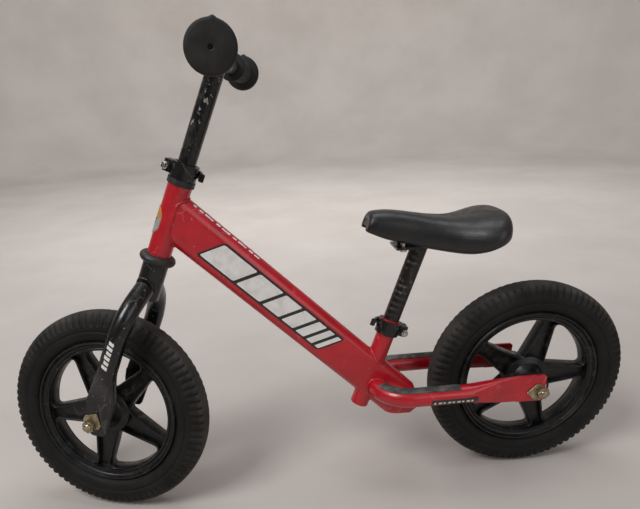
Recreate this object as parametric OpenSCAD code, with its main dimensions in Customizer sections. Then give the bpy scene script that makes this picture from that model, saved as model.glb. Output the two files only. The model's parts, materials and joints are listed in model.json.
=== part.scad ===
// Balance bike with two foam-tyred wheels, a swivelling fork and a height-adjustable
// saddle and handlebar. Forward is -X, the rider's left is -Y and up is +Z.
// The tyres stand on z = 0 and the origin is under the middle of the bike.

/* [Wheels] */
// Outer radius of both tyres
wheel_radius = 142; // [125:1:175]
// Width of both tyres
tyre_width = 42; // [34:1:51]
// Height of the foam from the rim to the ground
tyre_height = 39; // [32:0.5:47]
// Height of the moulded rim under the foam
rim_depth = 14; // [11:0.5:17]
// Number of moulded spokes in each wheel
spoke_count = 5; // [3:1:7]
// Width of a spoke
spoke_width = 20; // [14:0.5:24]
// Radius of the flange where the spokes meet the hub
hub_flange_radius = 28; // [23:0.5:34]
// Turn of the front wheel's first spoke from the rear
front_spoke_turn = -7; // [-36:1:36]
// Turn of the rear wheel's first spoke from the rear
rear_spoke_turn = 0; // [-36:1:36]

/* [Axles] */
// Distance between the two axles
wheelbase = 594; // [530:1:715]
// Diameter of both axles
axle_d = 10; // [8:0.5:12]
// Distance from the middle of the bike to the inside of each dropout
dropout_y = 50; // [44:0.5:60]
// Thickness of a flattened tube end
dropout_thickness = 4; // [3:0.25:5]
// Outer diameter of the wheel bearings
bearing_d = 26; // [22:0.5:32]
// Width of a wheel bearing
bearing_width = 8; // [6:0.5:10]
// Thickness of the tabbed axle washers
washer_thickness = 2; // [1.5:0.25:3]
// Thickness of the axle nuts
nut_thickness = 6; // [5:0.5:9]
// Width of the axle nuts across their flats
nut_flats = 15; // [13:0.5:18]

/* [Steering] */
// Angle of the steering axis above the ground
head_angle = 66.5; // [60:0.5:75]
// Turn of the fork and the front wheel in the stored pose
fork_turn = -18.4; // [-40:0.1:40]
// Turn of the handlebar in the stored pose
bar_turn = -5.3; // [-30:0.1:30]
// Length of the head tube
head_tube_length = 92; // [80:1:115]
// Outer diameter of the head tube
head_tube_d = 30.4; // [29:0.2:37]
// Outer diameter of the steerer tube
steerer_d = 25.4; // [25:0.1:26.2]
// Outer diameter of the handlebar stem
stem_d = 22.2; // [21:0.1:22.4]
// Height of the lower headset bushing's flange
lower_flange_height = 12; // [8:0.5:15]
// Height of the upper headset bushing's flange
upper_flange_height = 7; // [4:0.5:10]

/* [Fork] */
// Gap from the tyre up to the bottom of the crown tube
crown_gap = 34; // [26:1:44]
// Length of the crown tube
crown_length = 48; // [40:1:58]
// Outer diameter of the crown tube
crown_d = 32.6; // [30:0.2:38]
// Outer diameter of the fork blades
blade_d = 25.4; // [21:0.2:27]
// Radius of the bend in each blade
blade_bend_radius = 70; // [60:1:84]
// Lean of the blades where they leave the crown
blade_lean = 50; // [42:1:55]

/* [Handlebar] */
// Distance from the top of the bar collar to the grips' centre line
bar_rise = 123; // [102:1:148]
// Width of the handlebar over the grips' flat ends
bar_width = 357; // [300:1:430]
// Outer diameter of the crossbar
bar_d = 19; // [16:0.2:22]
// Backward bend of the crossbar's ends
bar_sweep = 6; // [3:0.5:12]
// Length of a grip
grip_length = 88; // [74:1:105]
// Outer diameter of a grip
grip_d = 29; // [27:0.5:34]
// Diameter of the round bumper at a grip's end
grip_end_d = 46; // [38:0.5:56]
// Diameter of the hole in a grip's end
grip_hole_d = 4; // [3:0.25:6]

/* [Frame] */
// Height of the main tube's section
main_tube_height = 59; // [50:1:66]
// Width of the main tube's section
main_tube_width = 30; // [29:0.5:35]
// Wall of the frame's tubes
tube_wall = 1.5; // [1.1:0.05:1.55]
// Gap from the rear tyre to the main tube's closed end
tail_gap = 18; // [12:0.5:26]
// Angle of the seat tube above the ground
seat_angle = 70.5; // [66:0.5:76]
// Outer diameter of the seat tube
seat_tube_d = 25.4; // [24.8:0.1:26.4]
// Length of the seat tube
seat_tube_length = 134; // [115:1:160]
// Gap from the rear tyre to the foot of the seat tube
seat_tube_gap = 101.5; // [90:0.5:120]
// Outer diameter of the rear stays
stay_d = 25.4; // [21:0.2:28]
// Radius of the bend in each stay
stay_bend_radius = 42; // [36:0.5:50]
// Height of the stays above the rear axle
stay_rise = 6; // [3:0.5:10]
// Length of the foot grip tape along a stay's straight
tape_length = 64; // [50:1:75]

/* [Seat] */
// Outer diameter of the seatpost
seatpost_d = 22.2; // [21:0.1:22.4]
// Length of seatpost showing above the seat tube
post_exposed = 108; // [95:1:125]
// Length of seatpost inside the seat tube
post_inserted = 95; // [70:1:110]
// Length of the saddle from its rear to its nose
saddle_length = 178; // [150:1:210]
// Width of the saddle at its rear
saddle_width = 124; // [104:1:148]
// Width of the saddle at its nose
nose_width = 44; // [38:1:52]
// Thickness of the saddle's plastic base
base_thickness = 6; // [5:0.5:8]

/* [Collars] */
// Height of both quick-release collars
collar_height = 19; // [16:0.5:22]
// Wall of both quick-release collars
collar_wall = 3.8; // [3:0.1:4.6]
// Diameter of the collar bolts
collar_bolt_d = 5; // [4:0.25:6]

/* [Fits] */
// Radial clearance of a tube or shaft that moves in another
running_fit = 0.05; // [0.02:0.01:0.1]
// Gap between faces of different moving groups
face_gap = 0.4; // [0.3:0.05:0.6]

/* [Hidden] */
$fn = 64;
tiny = 0.01;
far = 400;
bend_swell = 0.06;
bend_lap = 0.6;

// Colours
frame_red = [0.70, 0.09, 0.11];
gloss_black = [0.05, 0.05, 0.06];
nylon_black = [0.09, 0.09, 0.10];
foam_grey = [0.20, 0.19, 0.18];
zinc_yellow = [0.72, 0.66, 0.45];
steel_grey = [0.65, 0.66, 0.68];

// Wheel and tyre
tyre_half_width = tyre_width / 2;
tyre_corners = [
    [wheel_radius, 0.48 * tyre_half_width],
    [wheel_radius - 5, 0.86 * tyre_half_width],
    [wheel_radius - 14, tyre_half_width],
    [wheel_radius - 31, tyre_half_width - 0.5],
    [wheel_radius - tyre_height, 0.68 * tyre_half_width]
];
foam_inner_radius = wheel_radius - tyre_height;
rim_inner_radius = foam_inner_radius - rim_depth;
foam_seat_half_width = tyre_corners[4][1];
hub_half_length = dropout_y - 8;
hub_barrel_radius = bearing_d / 2 + 4;
race_radius = (axle_d + bearing_d) / 4;
axle_r = axle_d / 2;
spacer_wall = 2.5;

// Steering: the front axle lies on the steering axis, and the turned wheel touches the ground
wheel_tilt = sin(fork_turn) * cos(head_angle);
wheel_yaw = sin(fork_turn) * sin(head_angle);
front_axle_height = tyre_reach(wheel_tilt);
front_reach = tyre_reach(wheel_yaw);
rear_axle_x = (wheelbase + front_reach - wheel_radius) / 2;
front_axle_x = rear_axle_x - wheelbase;

// Heights along the steering axis, measured from the front axle
crown_bottom = wheel_radius + crown_gap;
crown_top = crown_bottom + crown_length;
head_bottom = crown_top + face_gap + lower_flange_height;
head_top = head_bottom + head_tube_length;
bar_collar_bottom = head_top + upper_flange_height + face_gap;
bar_collar_top = bar_collar_bottom + collar_height;
steerer_top = bar_collar_top - 1;
bar_height = bar_collar_top + bar_rise;
stem_bottom = head_bottom + 8;

// Fork blades: a leaning stretch, a bend, an upright stretch and a flattened end
dropout_mid_y = dropout_y + dropout_thickness / 2;
blade_join = crown_bottom + 11;
blade_turn_y = dropout_mid_y - blade_bend_radius * (1 - cos(blade_lean));
blade_turn_height = blade_join - (blade_turn_y - crown_d / 2) / tan(blade_lean);
blade_bend_bottom = blade_turn_height - blade_bend_radius * sin(blade_lean);
blade_flat_start = 80;
blade_flat_end = 36;
flat_width = 1.5 * blade_d;
flat_shift = 3.8;

// Seat tube and main tube
seat_foot = [rear_axle_x - wheel_radius - seat_tube_gap, wheel_radius - 24];
crossing_height = 47;
crossing = [seat_foot[0] + crossing_height * cos(seat_angle), seat_foot[1] + crossing_height * sin(seat_angle)];
head_meet = head_bottom + 0.58 * head_tube_length;
head_point = [front_axle_x + head_meet * cos(head_angle), front_axle_height + head_meet * sin(head_angle)];
main_run = crossing - head_point;
main_length = norm(main_run);
main_slope = atan2(-main_run[1], main_run[0]);
tail_x = rear_axle_x - wheel_radius - tail_gap;
tail_bottom = wheel_radius - 40;
tail_length = 110;

// Rear stays
stay_height = wheel_radius + stay_rise;
stay_bend_x = rear_axle_x - wheel_radius - 38;
stay_bend_y = dropout_mid_y - stay_bend_radius;
stay_flat_start = 74;
stay_flat_end = 32;
stay_flat_height = 1.53 * stay_d;
tape_thickness = 0.8;
tape_half_angle = 55;
tape_wrap = 62;

// Axle ends
washer_y = dropout_y + dropout_thickness;
nut_y = washer_y + washer_thickness;
axle_half_length = nut_y + nut_thickness + 2.5;
washer_length = 31;
washer_width = 25;
washer_shift = 6;

// Crossbar
half_straight = 38;
sweep_radius = 60;
bend_y = half_straight + sweep_radius * sin(bar_sweep);
bend_x = sweep_radius * (1 - cos(bar_sweep));
grip_end_wall = 4;
arm_length = (bar_width / 2 - bend_y) / cos(bar_sweep);

// Collars and levers
ear_reach = 25;
ear_gap = 3;
ear_width = 6;
lever_gap = 2.4;
lever_thickness = 3.2;
lever_height = 10;
cam_radius = 5.5;
pivot_y = ear_gap / 2 + ear_width + cam_radius + 0.5;
pivot_back = 20.5;
pivot_pin_d = 3;
eye_radius = 4;
eye_height = collar_bolt_d - 0.4;
nut_radius = 4.8;
nut_length = 8;

// Seat
post_top = seat_tube_length + post_exposed;
bracket_thickness = 3;
bracket_size = [70, 36];
screw_spread = [25, 12];
seat_drop = post_top * sin(seat_angle);
bracket_x = seat_foot[0] + post_top * cos(seat_angle);
bracket_z = seat_foot[1] + seat_drop;
base_z = bracket_z + bracket_thickness;
saddle_rear_x = bracket_x + 0.59 * saddle_length;
saddle_nose_x = saddle_rear_x - saddle_length;
screw_d = 5;

// How far a tyre reaches from its axle when its plane leans by the arcsine of a value
function tyre_reach(lean) = max([for (p = tyre_corners) p[0] * sqrt(1 - pow(lean, 2)) + p[1] * abs(lean)]);

// Moves children to the steering axis: local z runs up the axis and local x points rearward
module steered(turn) {
    translate([front_axle_x, 0, front_axle_height])
        rotate([0, 90 - head_angle, 0])
            rotate([0, 0, turn])
                children();
}

// Moves children to the rear axle: local y is the axle
module at_rear_axle() {
    translate([rear_axle_x, 0, wheel_radius]) children();
}

// Moves children to the foot of the seat tube: local z runs up the tube
module on_seat_tube() {
    translate([seat_foot[0], 0, seat_foot[1]])
        rotate([0, 90 - seat_angle, 0])
            children();
}

// A rod along y, centred on the middle of the bike
module cross_rod(radius, length) {
    rotate([90, 0, 0]) cylinder(r = radius, h = length, center = true);
}

// A tube along z
module tube(outer_r, inner_r, height) {
    difference() {
        cylinder(r = outer_r, h = height);
        translate([0, 0, -1]) cylinder(r = inner_r, h = height + 2);
    }
}

// The same piece on both ends of an axle
module both_ends(offset_y) {
    translate([0, offset_y, 0]) children();
    mirror([0, 1, 0]) translate([0, offset_y, 0]) children();
}

// Turns children so that their z points along +y
module facing_out() {
    rotate([-90, 0, 0]) children();
}

// A bend of round bar in the xy plane, from the x axis through a given angle.
// It is a hair thicker than the straight bars, which run a little way into it.
module bend(bend_radius, bar_radius, angle) {
    rotate_extrude(angle = angle) translate([bend_radius, 0]) circle(r = bar_radius + bend_swell);
}

// Main tube: a flat-sided section with round top and bottom edges
module main_section(inset) {
    radius = main_tube_width / 2 - inset;
    straight = main_tube_height - main_tube_width;
    square([straight, 2 * radius], center = true);
    translate([straight / 2, 0]) circle(r = radius);
    translate([-straight / 2, 0]) circle(r = radius);
}

module main_bar(inset) {
    intersection() {
        translate([head_point[0], 0, head_point[1]])
            rotate([0, 90 + main_slope, 0])
                linear_extrude(main_length + tail_length) main_section(inset);
        main_side_profile(inset);
    }
}

// Side outline that closes the main tube's tail in front of the rear tyre
module main_side_profile(inset) {
    translate([0, far / 2, 0])
        rotate([90, 0, 0])
            linear_extrude(far)
                polygon([
                    [head_point[0] - 60, tail_bottom + inset],
                    [tail_x - 12 - inset, tail_bottom + inset],
                    [tail_x - inset, tail_bottom + 10 + inset],
                    [tail_x - 6 - inset, tail_bottom + 44],
                    [tail_x - 6 - inset, head_point[1] + 60],
                    [head_point[0] - 60, head_point[1] + 60]
                ]);
}

module main_tube() {
    color(frame_red) difference() {
        main_bar(0);
        main_bar(tube_wall);
        steered(0) translate([0, 0, head_bottom - 40]) cylinder(d = head_tube_d, h = head_tube_length + 80);
        steered(0) translate([-far, -far / 2, head_bottom - 40]) cube([far, far, head_tube_length + 80]);
        on_seat_tube() translate([0, 0, -20]) cylinder(d = seat_tube_d, h = seat_tube_length);
    }
}

module head_tube() {
    color(frame_red) steered(0) translate([0, 0, head_bottom])
        tube(head_tube_d / 2, head_tube_d / 2 - tube_wall, head_tube_length);
}

module seat_tube() {
    color(frame_red) on_seat_tube()
        tube(seat_tube_d / 2, seatpost_d / 2 + running_fit, seat_tube_length);
}

// The solid shape of the left stay, from inside the main tube to its flattened end
module left_stay_form(radius) {
    straight_end = rear_axle_x - stay_flat_start;
    translate([stay_bend_x, -stay_bend_y, stay_height]) {
        rotate([0, 0, 180]) bend(stay_bend_radius, radius, 90);
        translate([-stay_bend_radius, -bend_lap, 0]) rotate([-90, 0, 0])
            cylinder(r = radius, h = stay_bend_y + bend_lap);
        translate([-bend_lap, -stay_bend_radius, 0]) rotate([0, 90, 0])
            cylinder(r = radius, h = straight_end - stay_bend_x + bend_lap);
    }
}

// Outline of the flattened end of a stay, with the axle slot opening to the rear
module stay_plate_outline() {
    difference() {
        polygon([
            [-stay_flat_end, stay_rise - stay_flat_height / 2],
            [3, stay_rise - stay_flat_height / 2 - 1],
            [6, stay_rise + stay_flat_height / 2 - 1],
            [-stay_flat_end, stay_rise + stay_flat_height / 2]
        ]);
        circle(r = axle_r);
        translate([0, -axle_r]) square([20, axle_d]);
    }
}

module left_stay() {
    color(frame_red) difference() {
        union() {
            left_stay_form(stay_d / 2);
            hull() {
                translate([rear_axle_x - stay_flat_start - 1, -dropout_mid_y, stay_height])
                    rotate([0, 90, 0]) cylinder(d = stay_d + 0.3, h = 1, $fn = 32);
                translate([rear_axle_x - stay_flat_end, -dropout_mid_y, stay_height])
                    cube([1, dropout_thickness, stay_flat_height], center = true);
            }
            at_rear_axle() translate([0, -dropout_y, 0]) rotate([90, 0, 0])
                linear_extrude(dropout_thickness) stay_plate_outline();
        }
        translate([stay_bend_x - far, -main_tube_width / 2, stay_height - 60]) cube([far, far, 120]);
        left_stay_form(stay_d / 2 - tube_wall);
    }
}

module right_stay() {
    mirror([0, 1, 0]) left_stay();
}

// Grip tape on the upper outside of a stay, round the bend and along the straight
module tape_band(inner_r, half_angle) {
    difference() {
        circle(r = inner_r + tape_thickness);
        circle(r = inner_r);
        rotate(half_angle) translate([-far / 2, -far]) square([far, far]);
        rotate(-half_angle) translate([-far / 2, -far]) square([far, far]);
    }
}

module left_foot_tape() {
    color(nylon_black) translate([stay_bend_x, -stay_bend_y, stay_height]) {
        rotate([0, 0, 270 - tape_wrap]) rotate_extrude(angle = tape_wrap)
            translate([stay_bend_radius, 0]) tape_band(stay_d / 2 + bend_swell, tape_half_angle);
        translate([-bend_lap, -stay_bend_radius, 0]) rotate([90, 0, 90])
            linear_extrude(tape_length + bend_lap) tape_band(stay_d / 2, tape_half_angle - 0.5);
    }
}

module right_foot_tape() {
    mirror([0, 1, 0]) left_foot_tape();
}

// Oval badge curved over the front of the head tube
module head_badge() {
    badge_height = 36;
    badge_width = 24;
    color(steel_grey) steered(0) translate([0, 0, head_bottom + 0.46 * head_tube_length]) intersection() {
        translate([0, 0, -badge_height]) tube(head_tube_d / 2 + 1, head_tube_d / 2, 2 * badge_height);
        rotate([0, -90, 0]) linear_extrude(head_tube_d) union() {
            square([badge_height - badge_width, badge_width], center = true);
            translate([(badge_height - badge_width) / 2, 0]) circle(d = badge_width);
            translate([-(badge_height - badge_width) / 2, 0]) circle(d = badge_width);
        }
    }
}

// Plastic headset bushings: a sleeve inside the head tube and a flange outside it
module upper_headset_bushing() {
    color(nylon_black) steered(0) difference() {
        union() {
            translate([0, 0, head_top]) cylinder(r = head_tube_d / 2 + 2, h = upper_flange_height);
            translate([0, 0, head_top - 20]) cylinder(r = head_tube_d / 2 - tube_wall, h = 20 + tiny);
        }
        translate([0, 0, head_top - 30]) cylinder(r = steerer_d / 2 + running_fit, h = 60);
    }
}

module lower_headset_bushing() {
    flange_radius = head_tube_d / 2 + 7;
    color(nylon_black) steered(0) difference() {
        union() {
            translate([0, 0, head_bottom - lower_flange_height / 2])
                rotate_extrude() translate([flange_radius - 4.5, 0]) circle(r = lower_flange_height * 0.45);
            translate([0, 0, head_bottom - lower_flange_height])
                cylinder(r = flange_radius - 4, h = lower_flange_height);
            translate([0, 0, head_bottom - tiny]) cylinder(r = head_tube_d / 2 - tube_wall, h = 20);
        }
        translate([0, 0, head_bottom - 40]) cylinder(r = steerer_d / 2 + running_fit, h = 100);
    }
}

// Quick-release collar with two ears pointing forward; a bolt along y pulls them together
module collar(bore_r) {
    outer_r = bore_r + collar_wall;
    ear_box = ear_gap + 2 * ear_width;
    difference() {
        union() {
            cylinder(r = outer_r, h = collar_height);
            translate([-ear_reach, -ear_box / 2, 2]) cube([ear_reach - 8, ear_box, collar_height - 4]);
        }
        translate([0, 0, -1]) cylinder(r = bore_r, h = collar_height + 2);
        translate([-ear_reach - 1, -ear_gap / 2, -1]) cube([ear_reach, ear_gap, collar_height + 2]);
        translate([-pivot_back, 0, collar_height / 2]) cross_rod(collar_bolt_d / 2 + 0.1, far);
    }
}

// The bolt ends in an eye that turns inside the forked cam
module collar_bolt() {
    bolt_start = -ear_gap / 2 - ear_width - nut_length + 1;
    translate([-pivot_back, 0, collar_height / 2]) difference() {
        union() {
            translate([0, bolt_start, 0]) facing_out() cylinder(d = collar_bolt_d, h = pivot_y - bolt_start);
            translate([0, pivot_y, -eye_height / 2]) cylinder(r = eye_radius, h = eye_height);
        }
        translate([0, pivot_y, -collar_height]) cylinder(d = pivot_pin_d, h = 2 * collar_height);
    }
}

module collar_nut() {
    translate([-pivot_back, -ear_gap / 2 - ear_width, collar_height / 2]) rotate([90, 0, 0])
        difference() {
            cylinder(r = nut_radius, h = nut_length);
            translate([0, 0, -1]) cylinder(d = collar_bolt_d, h = nut_length);
        }
}

// Cam lever seen along the collar: a round cam beside the ear, and an arm that wraps
// round the collar and ends in a turned-out thumb tip
module lever_outline(inner_r) {
    arm_start = 128;
    arm_end = 8;
    reach = 4 * inner_r;
    intersection() {
        difference() {
            circle(r = inner_r + lever_thickness);
            circle(r = inner_r);
        }
        polygon([
            [0, 0],
            [reach * cos(arm_end), reach * sin(arm_end)],
            [reach * cos((arm_start + arm_end) / 2), reach * sin((arm_start + arm_end) / 2)],
            [reach * cos(arm_start), reach * sin(arm_start)]
        ]);
    }
    rotate(arm_end) translate([inner_r + 0.3, -2.5]) square([lever_thickness + 4, 2.8]);
    translate([-pivot_back, pivot_y]) circle(r = cam_radius);
    translate([-pivot_back, pivot_y - 1]) rotate(19) square([11, lever_thickness + 2]);
}

// The cam is forked round the bolt's eye and turns on a pin
module cam_lever(bore_r) {
    slot_height = collar_bolt_d + 0.6;
    translate([0, 0, collar_height / 2]) difference() {
        linear_extrude(lever_height, center = true) lever_outline(bore_r + collar_wall + lever_gap);
        translate([-pivot_back - 4 * cam_radius, pivot_y - 2 * cam_radius, -slot_height / 2])
            cube([4 * cam_radius + eye_radius + face_gap, 4 * cam_radius, slot_height]);
        translate([-pivot_back, pivot_y, -lever_height])
            cylinder(r = pivot_pin_d / 2 + running_fit, h = 2 * lever_height);
    }
}

module lever_pin() {
    translate([-pivot_back, pivot_y, collar_height / 2 - lever_height / 2 - 1])
        cylinder(d = pivot_pin_d, h = lever_height + 2);
}

module at_bar_collar() {
    steered(fork_turn) translate([0, 0, bar_collar_bottom]) children();
}

// The seat collar's ears point rearward
module at_seat_collar() {
    on_seat_tube() translate([0, 0, seat_tube_length - collar_height - 1.5]) mirror([1, 0, 0]) children();
}

module bar_collar() {
    color(gloss_black) at_bar_collar() collar(steerer_d / 2);
}

module bar_collar_bolt() {
    color(steel_grey) at_bar_collar() collar_bolt();
}

module bar_collar_nut() {
    color(steel_grey) at_bar_collar() collar_nut();
}

module bar_lever() {
    color(gloss_black) at_bar_collar() cam_lever(steerer_d / 2);
}

module bar_lever_pin() {
    color(steel_grey) at_bar_collar() lever_pin();
}

module seat_collar() {
    color(gloss_black) at_seat_collar() collar(seat_tube_d / 2);
}

module seat_collar_bolt() {
    color(steel_grey) at_seat_collar() collar_bolt();
}

module seat_collar_nut() {
    color(steel_grey) at_seat_collar() collar_nut();
}

module seat_lever() {
    color(gloss_black) at_seat_collar() cam_lever(seat_tube_d / 2);
}

module seat_lever_pin() {
    color(steel_grey) at_seat_collar() lever_pin();
}

// Fork
module steerer_tube() {
    color(gloss_black) steered(fork_turn) translate([0, 0, crown_bottom + 10])
        tube(steerer_d / 2, stem_d / 2 + running_fit, steerer_top - crown_bottom - 10);
}

module fork_crown() {
    color(gloss_black) steered(fork_turn) translate([0, 0, crown_bottom])
        tube(crown_d / 2, steerer_d / 2, crown_length);
}

// The solid shape of the left blade above its flattened end
module left_blade_form(radius) {
    lean_length = (blade_turn_y + crown_d / 2) / sin(blade_lean);
    translate([0, -blade_turn_y, blade_turn_height]) rotate([-blade_lean, 0, 0])
        translate([0, 0, -bend_lap]) cylinder(r = radius, h = lean_length + bend_lap);
    translate([0, blade_bend_radius - dropout_mid_y, blade_bend_bottom]) rotate([90, 0, 90])
        rotate([0, 0, 180 - blade_lean]) bend(blade_bend_radius, radius, blade_lean);
    translate([0, -dropout_mid_y, blade_flat_start])
        cylinder(r = radius, h = blade_bend_bottom - blade_flat_start + bend_lap);
}

// Outline of the flattened end of a blade: x rearward, y up, with the axle slot opening forward and down
module blade_plate_outline() {
    difference() {
        polygon([
            [flat_shift - flat_width / 2, blade_flat_end],
            [flat_shift + flat_width / 2, blade_flat_end],
            [flat_shift + flat_width / 2 - 1, -7],
            [8, -12],
            [-6, -9],
            [-8, 9],
            [-13, 24]
        ]);
        circle(r = axle_r);
        rotate(-120) translate([0, -axle_r]) square([20, axle_d]);
    }
}

module left_fork_blade() {
    color(gloss_black) steered(fork_turn) difference() {
        union() {
            left_blade_form(blade_d / 2);
            hull() {
                translate([0, -dropout_mid_y, blade_flat_start]) cylinder(d = blade_d + 0.3, h = 1, $fn = 32);
                translate([flat_shift, -dropout_mid_y, blade_flat_end])
                    cube([flat_width, dropout_thickness, 1], center = true);
            }
            translate([0, -dropout_y, 0]) rotate([90, 0, 0])
                linear_extrude(dropout_thickness) blade_plate_outline();
        }
        translate([0, 0, crown_bottom - 1]) cylinder(d = crown_d, h = far);
        translate([-far / 2, -far / 2, crown_top - 1]) cube([far, far, far]);
        translate([-far / 2, 0, 0]) cube([far, far, far]);
        left_blade_form(blade_d / 2 - tube_wall);
    }
}

module right_fork_blade() {
    color(gloss_black) steered(fork_turn) mirror([0, 1, 0]) steered_back() left_fork_blade();
}

// Undoes steered(fork_turn), so that a finished fork piece can be mirrored in the fork's own frame
module steered_back() {
    rotate([0, 0, -fork_turn])
        rotate([0, head_angle - 90, 0])
            translate([-front_axle_x, 0, -front_axle_height])
                children();
}

// Axle sets: a threaded rod, bearing inner races, spacers, tabbed washers and hex nuts
module axle() {
    cross_rod(axle_r, 2 * axle_half_length);
}

module inner_races() {
    both_ends(hub_half_length - bearing_width) facing_out() tube(race_radius, axle_r, bearing_width);
}

module axle_spacers() {
    between = hub_half_length - bearing_width;
    translate([0, -between, 0]) facing_out() tube(axle_r + spacer_wall, axle_r, 2 * between);
    both_ends(hub_half_length) facing_out() tube(axle_r + spacer_wall, axle_r, dropout_y - hub_half_length);
}

module outer_races() {
    both_ends(hub_half_length - bearing_width) facing_out()
        tube(bearing_d / 2, race_radius + running_fit, bearing_width);
}

// A six-sided washer whose hole is off centre; its long way runs along local x
module tab_washer() {
    difference() {
        linear_extrude(washer_thickness) translate([washer_shift, 0]) polygon([
            [-washer_length / 2, 0],
            [-3, -washer_width / 2],
            [3, -washer_width / 2],
            [washer_length / 2, 0],
            [3, washer_width / 2],
            [-3, washer_width / 2]
        ]);
        translate([0, 0, -1]) cylinder(r = axle_r, h = washer_thickness + 2);
    }
}

module tab_washers(slot_turn) {
    both_ends(washer_y) facing_out() rotate(slot_turn) tab_washer();
}

module axle_nuts() {
    both_ends(nut_y) facing_out() difference() {
        cylinder(d = nut_flats / cos(30), h = nut_thickness, $fn = 6);
        translate([0, 0, -1]) cylinder(r = axle_r, h = nut_thickness + 2);
    }
}

// Moulded wheel: a rim, a hub and ribbed spokes between them
module rim_ring() {
    rotate([90, 0, 0]) rotate_extrude() polygon([
        [rim_inner_radius, -8],
        [rim_inner_radius + 3, -tyre_half_width * 0.72],
        [foam_inner_radius - 3, -tyre_half_width * 0.78],
        [foam_inner_radius - 3, -foam_seat_half_width],
        [foam_inner_radius, -foam_seat_half_width],
        [foam_inner_radius, foam_seat_half_width],
        [foam_inner_radius - 3, foam_seat_half_width],
        [foam_inner_radius - 3, tyre_half_width * 0.78],
        [rim_inner_radius + 3, tyre_half_width * 0.72],
        [rim_inner_radius, 8]
    ]);
}

module spoke() {
    web = 4;
    rib = 3.5;
    rib_half_depth = 9;
    reach = rim_inner_radius + 2;
    translate([0, -web / 2, -spoke_width / 2]) cube([reach, web, spoke_width]);
    for (side = [-1, 1])
        translate([0, -rib_half_depth, side * (spoke_width - rib) / 2 - rib / 2])
            cube([reach, 2 * rib_half_depth, rib]);
}

module moulded_wheel(turn) {
    difference() {
        union() {
            rim_ring();
            rotate([90, 0, 0]) rotate_extrude() polygon([
                [0, -hub_half_length],
                [hub_barrel_radius, -hub_half_length],
                [hub_barrel_radius, -26],
                [hub_flange_radius, -12],
                [hub_flange_radius, 12],
                [hub_barrel_radius, 26],
                [hub_barrel_radius, hub_half_length],
                [0, hub_half_length]
            ]);
            for (i = [0 : spoke_count - 1]) rotate([0, -turn - i * 360 / spoke_count, 0]) spoke();
        }
        cross_rod(race_radius + 2, 4 * dropout_y);
        both_ends(hub_half_length - bearing_width) facing_out() cylinder(d = bearing_d, h = bearing_width + 1);
    }
}

// Solid foam tyre with a flat tread and bevelled shoulders
module foam_tyre() {
    rotate([90, 0, 0]) rotate_extrude() polygon([
        for (p = tyre_corners) p,
        for (i = [len(tyre_corners) - 1 : -1 : 0]) [tyre_corners[i][0], -tyre_corners[i][1]]
    ]);
}

module front_wheel() {
    color(nylon_black) steered(fork_turn) moulded_wheel(front_spoke_turn);
}

module front_tyre() {
    color(foam_grey) steered(fork_turn) foam_tyre();
}

module front_bearing_outer_races() {
    color(steel_grey) steered(fork_turn) outer_races();
}

module front_axle() {
    color(steel_grey) steered(fork_turn) axle();
}

module front_bearing_inner_races() {
    color(steel_grey) steered(fork_turn) inner_races();
}

module front_axle_spacers() {
    color(steel_grey) steered(fork_turn) axle_spacers();
}

module front_tab_washers() {
    color(zinc_yellow) steered(fork_turn) tab_washers(-80);
}

module front_axle_nuts() {
    color(zinc_yellow) steered(fork_turn) axle_nuts();
}

module rear_wheel() {
    color(nylon_black) at_rear_axle() moulded_wheel(rear_spoke_turn);
}

module rear_tyre() {
    color(foam_grey) at_rear_axle() foam_tyre();
}

module rear_bearing_outer_races() {
    color(steel_grey) at_rear_axle() outer_races();
}

module rear_axle() {
    color(steel_grey) at_rear_axle() axle();
}

module rear_bearing_inner_races() {
    color(steel_grey) at_rear_axle() inner_races();
}

module rear_axle_spacers() {
    color(steel_grey) at_rear_axle() axle_spacers();
}

module rear_tab_washers() {
    color(zinc_yellow) at_rear_axle() tab_washers(180);
}

module rear_axle_nuts() {
    color(zinc_yellow) at_rear_axle() axle_nuts();
}

// Handlebar: a stem with a crossbar welded over its top end
module handlebar_stem() {
    color(gloss_black) steered(bar_turn) difference() {
        translate([0, 0, stem_bottom]) tube(stem_d / 2, stem_d / 2 - tube_wall, bar_height - stem_bottom);
        translate([0, 0, bar_height]) cross_rod(bar_d / 2, 4 * stem_d);
    }
}

// The right half of the crossbar's line, from the middle of the bar outward
module along_right_arm(distance) {
    translate([bend_x, bend_y, bar_height]) rotate([0, 0, -bar_sweep])
        translate([0, distance, 0]) facing_out() children();
}

module right_arm(radius) {
    along_right_arm(-bend_lap) cylinder(r = radius, h = arm_length - grip_end_wall + bend_lap);
    translate([sweep_radius, half_straight, bar_height]) rotate([0, 0, 180 - bar_sweep])
        bend(sweep_radius, radius, bar_sweep);
}

module crossbar() {
    color(gloss_black) steered(bar_turn) {
        translate([0, 0, bar_height]) cross_rod(bar_d / 2, 2 * (half_straight + bend_lap));
        right_arm(bar_d / 2);
        mirror([0, 1, 0]) right_arm(bar_d / 2);
    }
}

// Rubber grip: an inner flange, a sleeve and a wide round bumper over the bar's end
module right_grip_form() {
    flange_thickness = 4;
    bumper_thickness = 11;
    difference() {
        union() {
            along_right_arm(arm_length - grip_length) cylinder(r = grip_d / 2 + 3, h = flange_thickness);
            along_right_arm(arm_length - grip_length) cylinder(d = grip_d, h = grip_length - 2);
            along_right_arm(arm_length - bumper_thickness) cylinder(d = grip_end_d, h = bumper_thickness);
        }
        along_right_arm(arm_length - grip_length - 1) cylinder(d = bar_d, h = grip_length + 1 - grip_end_wall);
        along_right_arm(0) cylinder(d = grip_hole_d, h = arm_length + 2);
    }
}

module right_grip() {
    color(nylon_black) steered(bar_turn) right_grip_form();
}

module left_grip() {
    color(nylon_black) steered(bar_turn) mirror([0, 1, 0]) right_grip_form();
}

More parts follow.
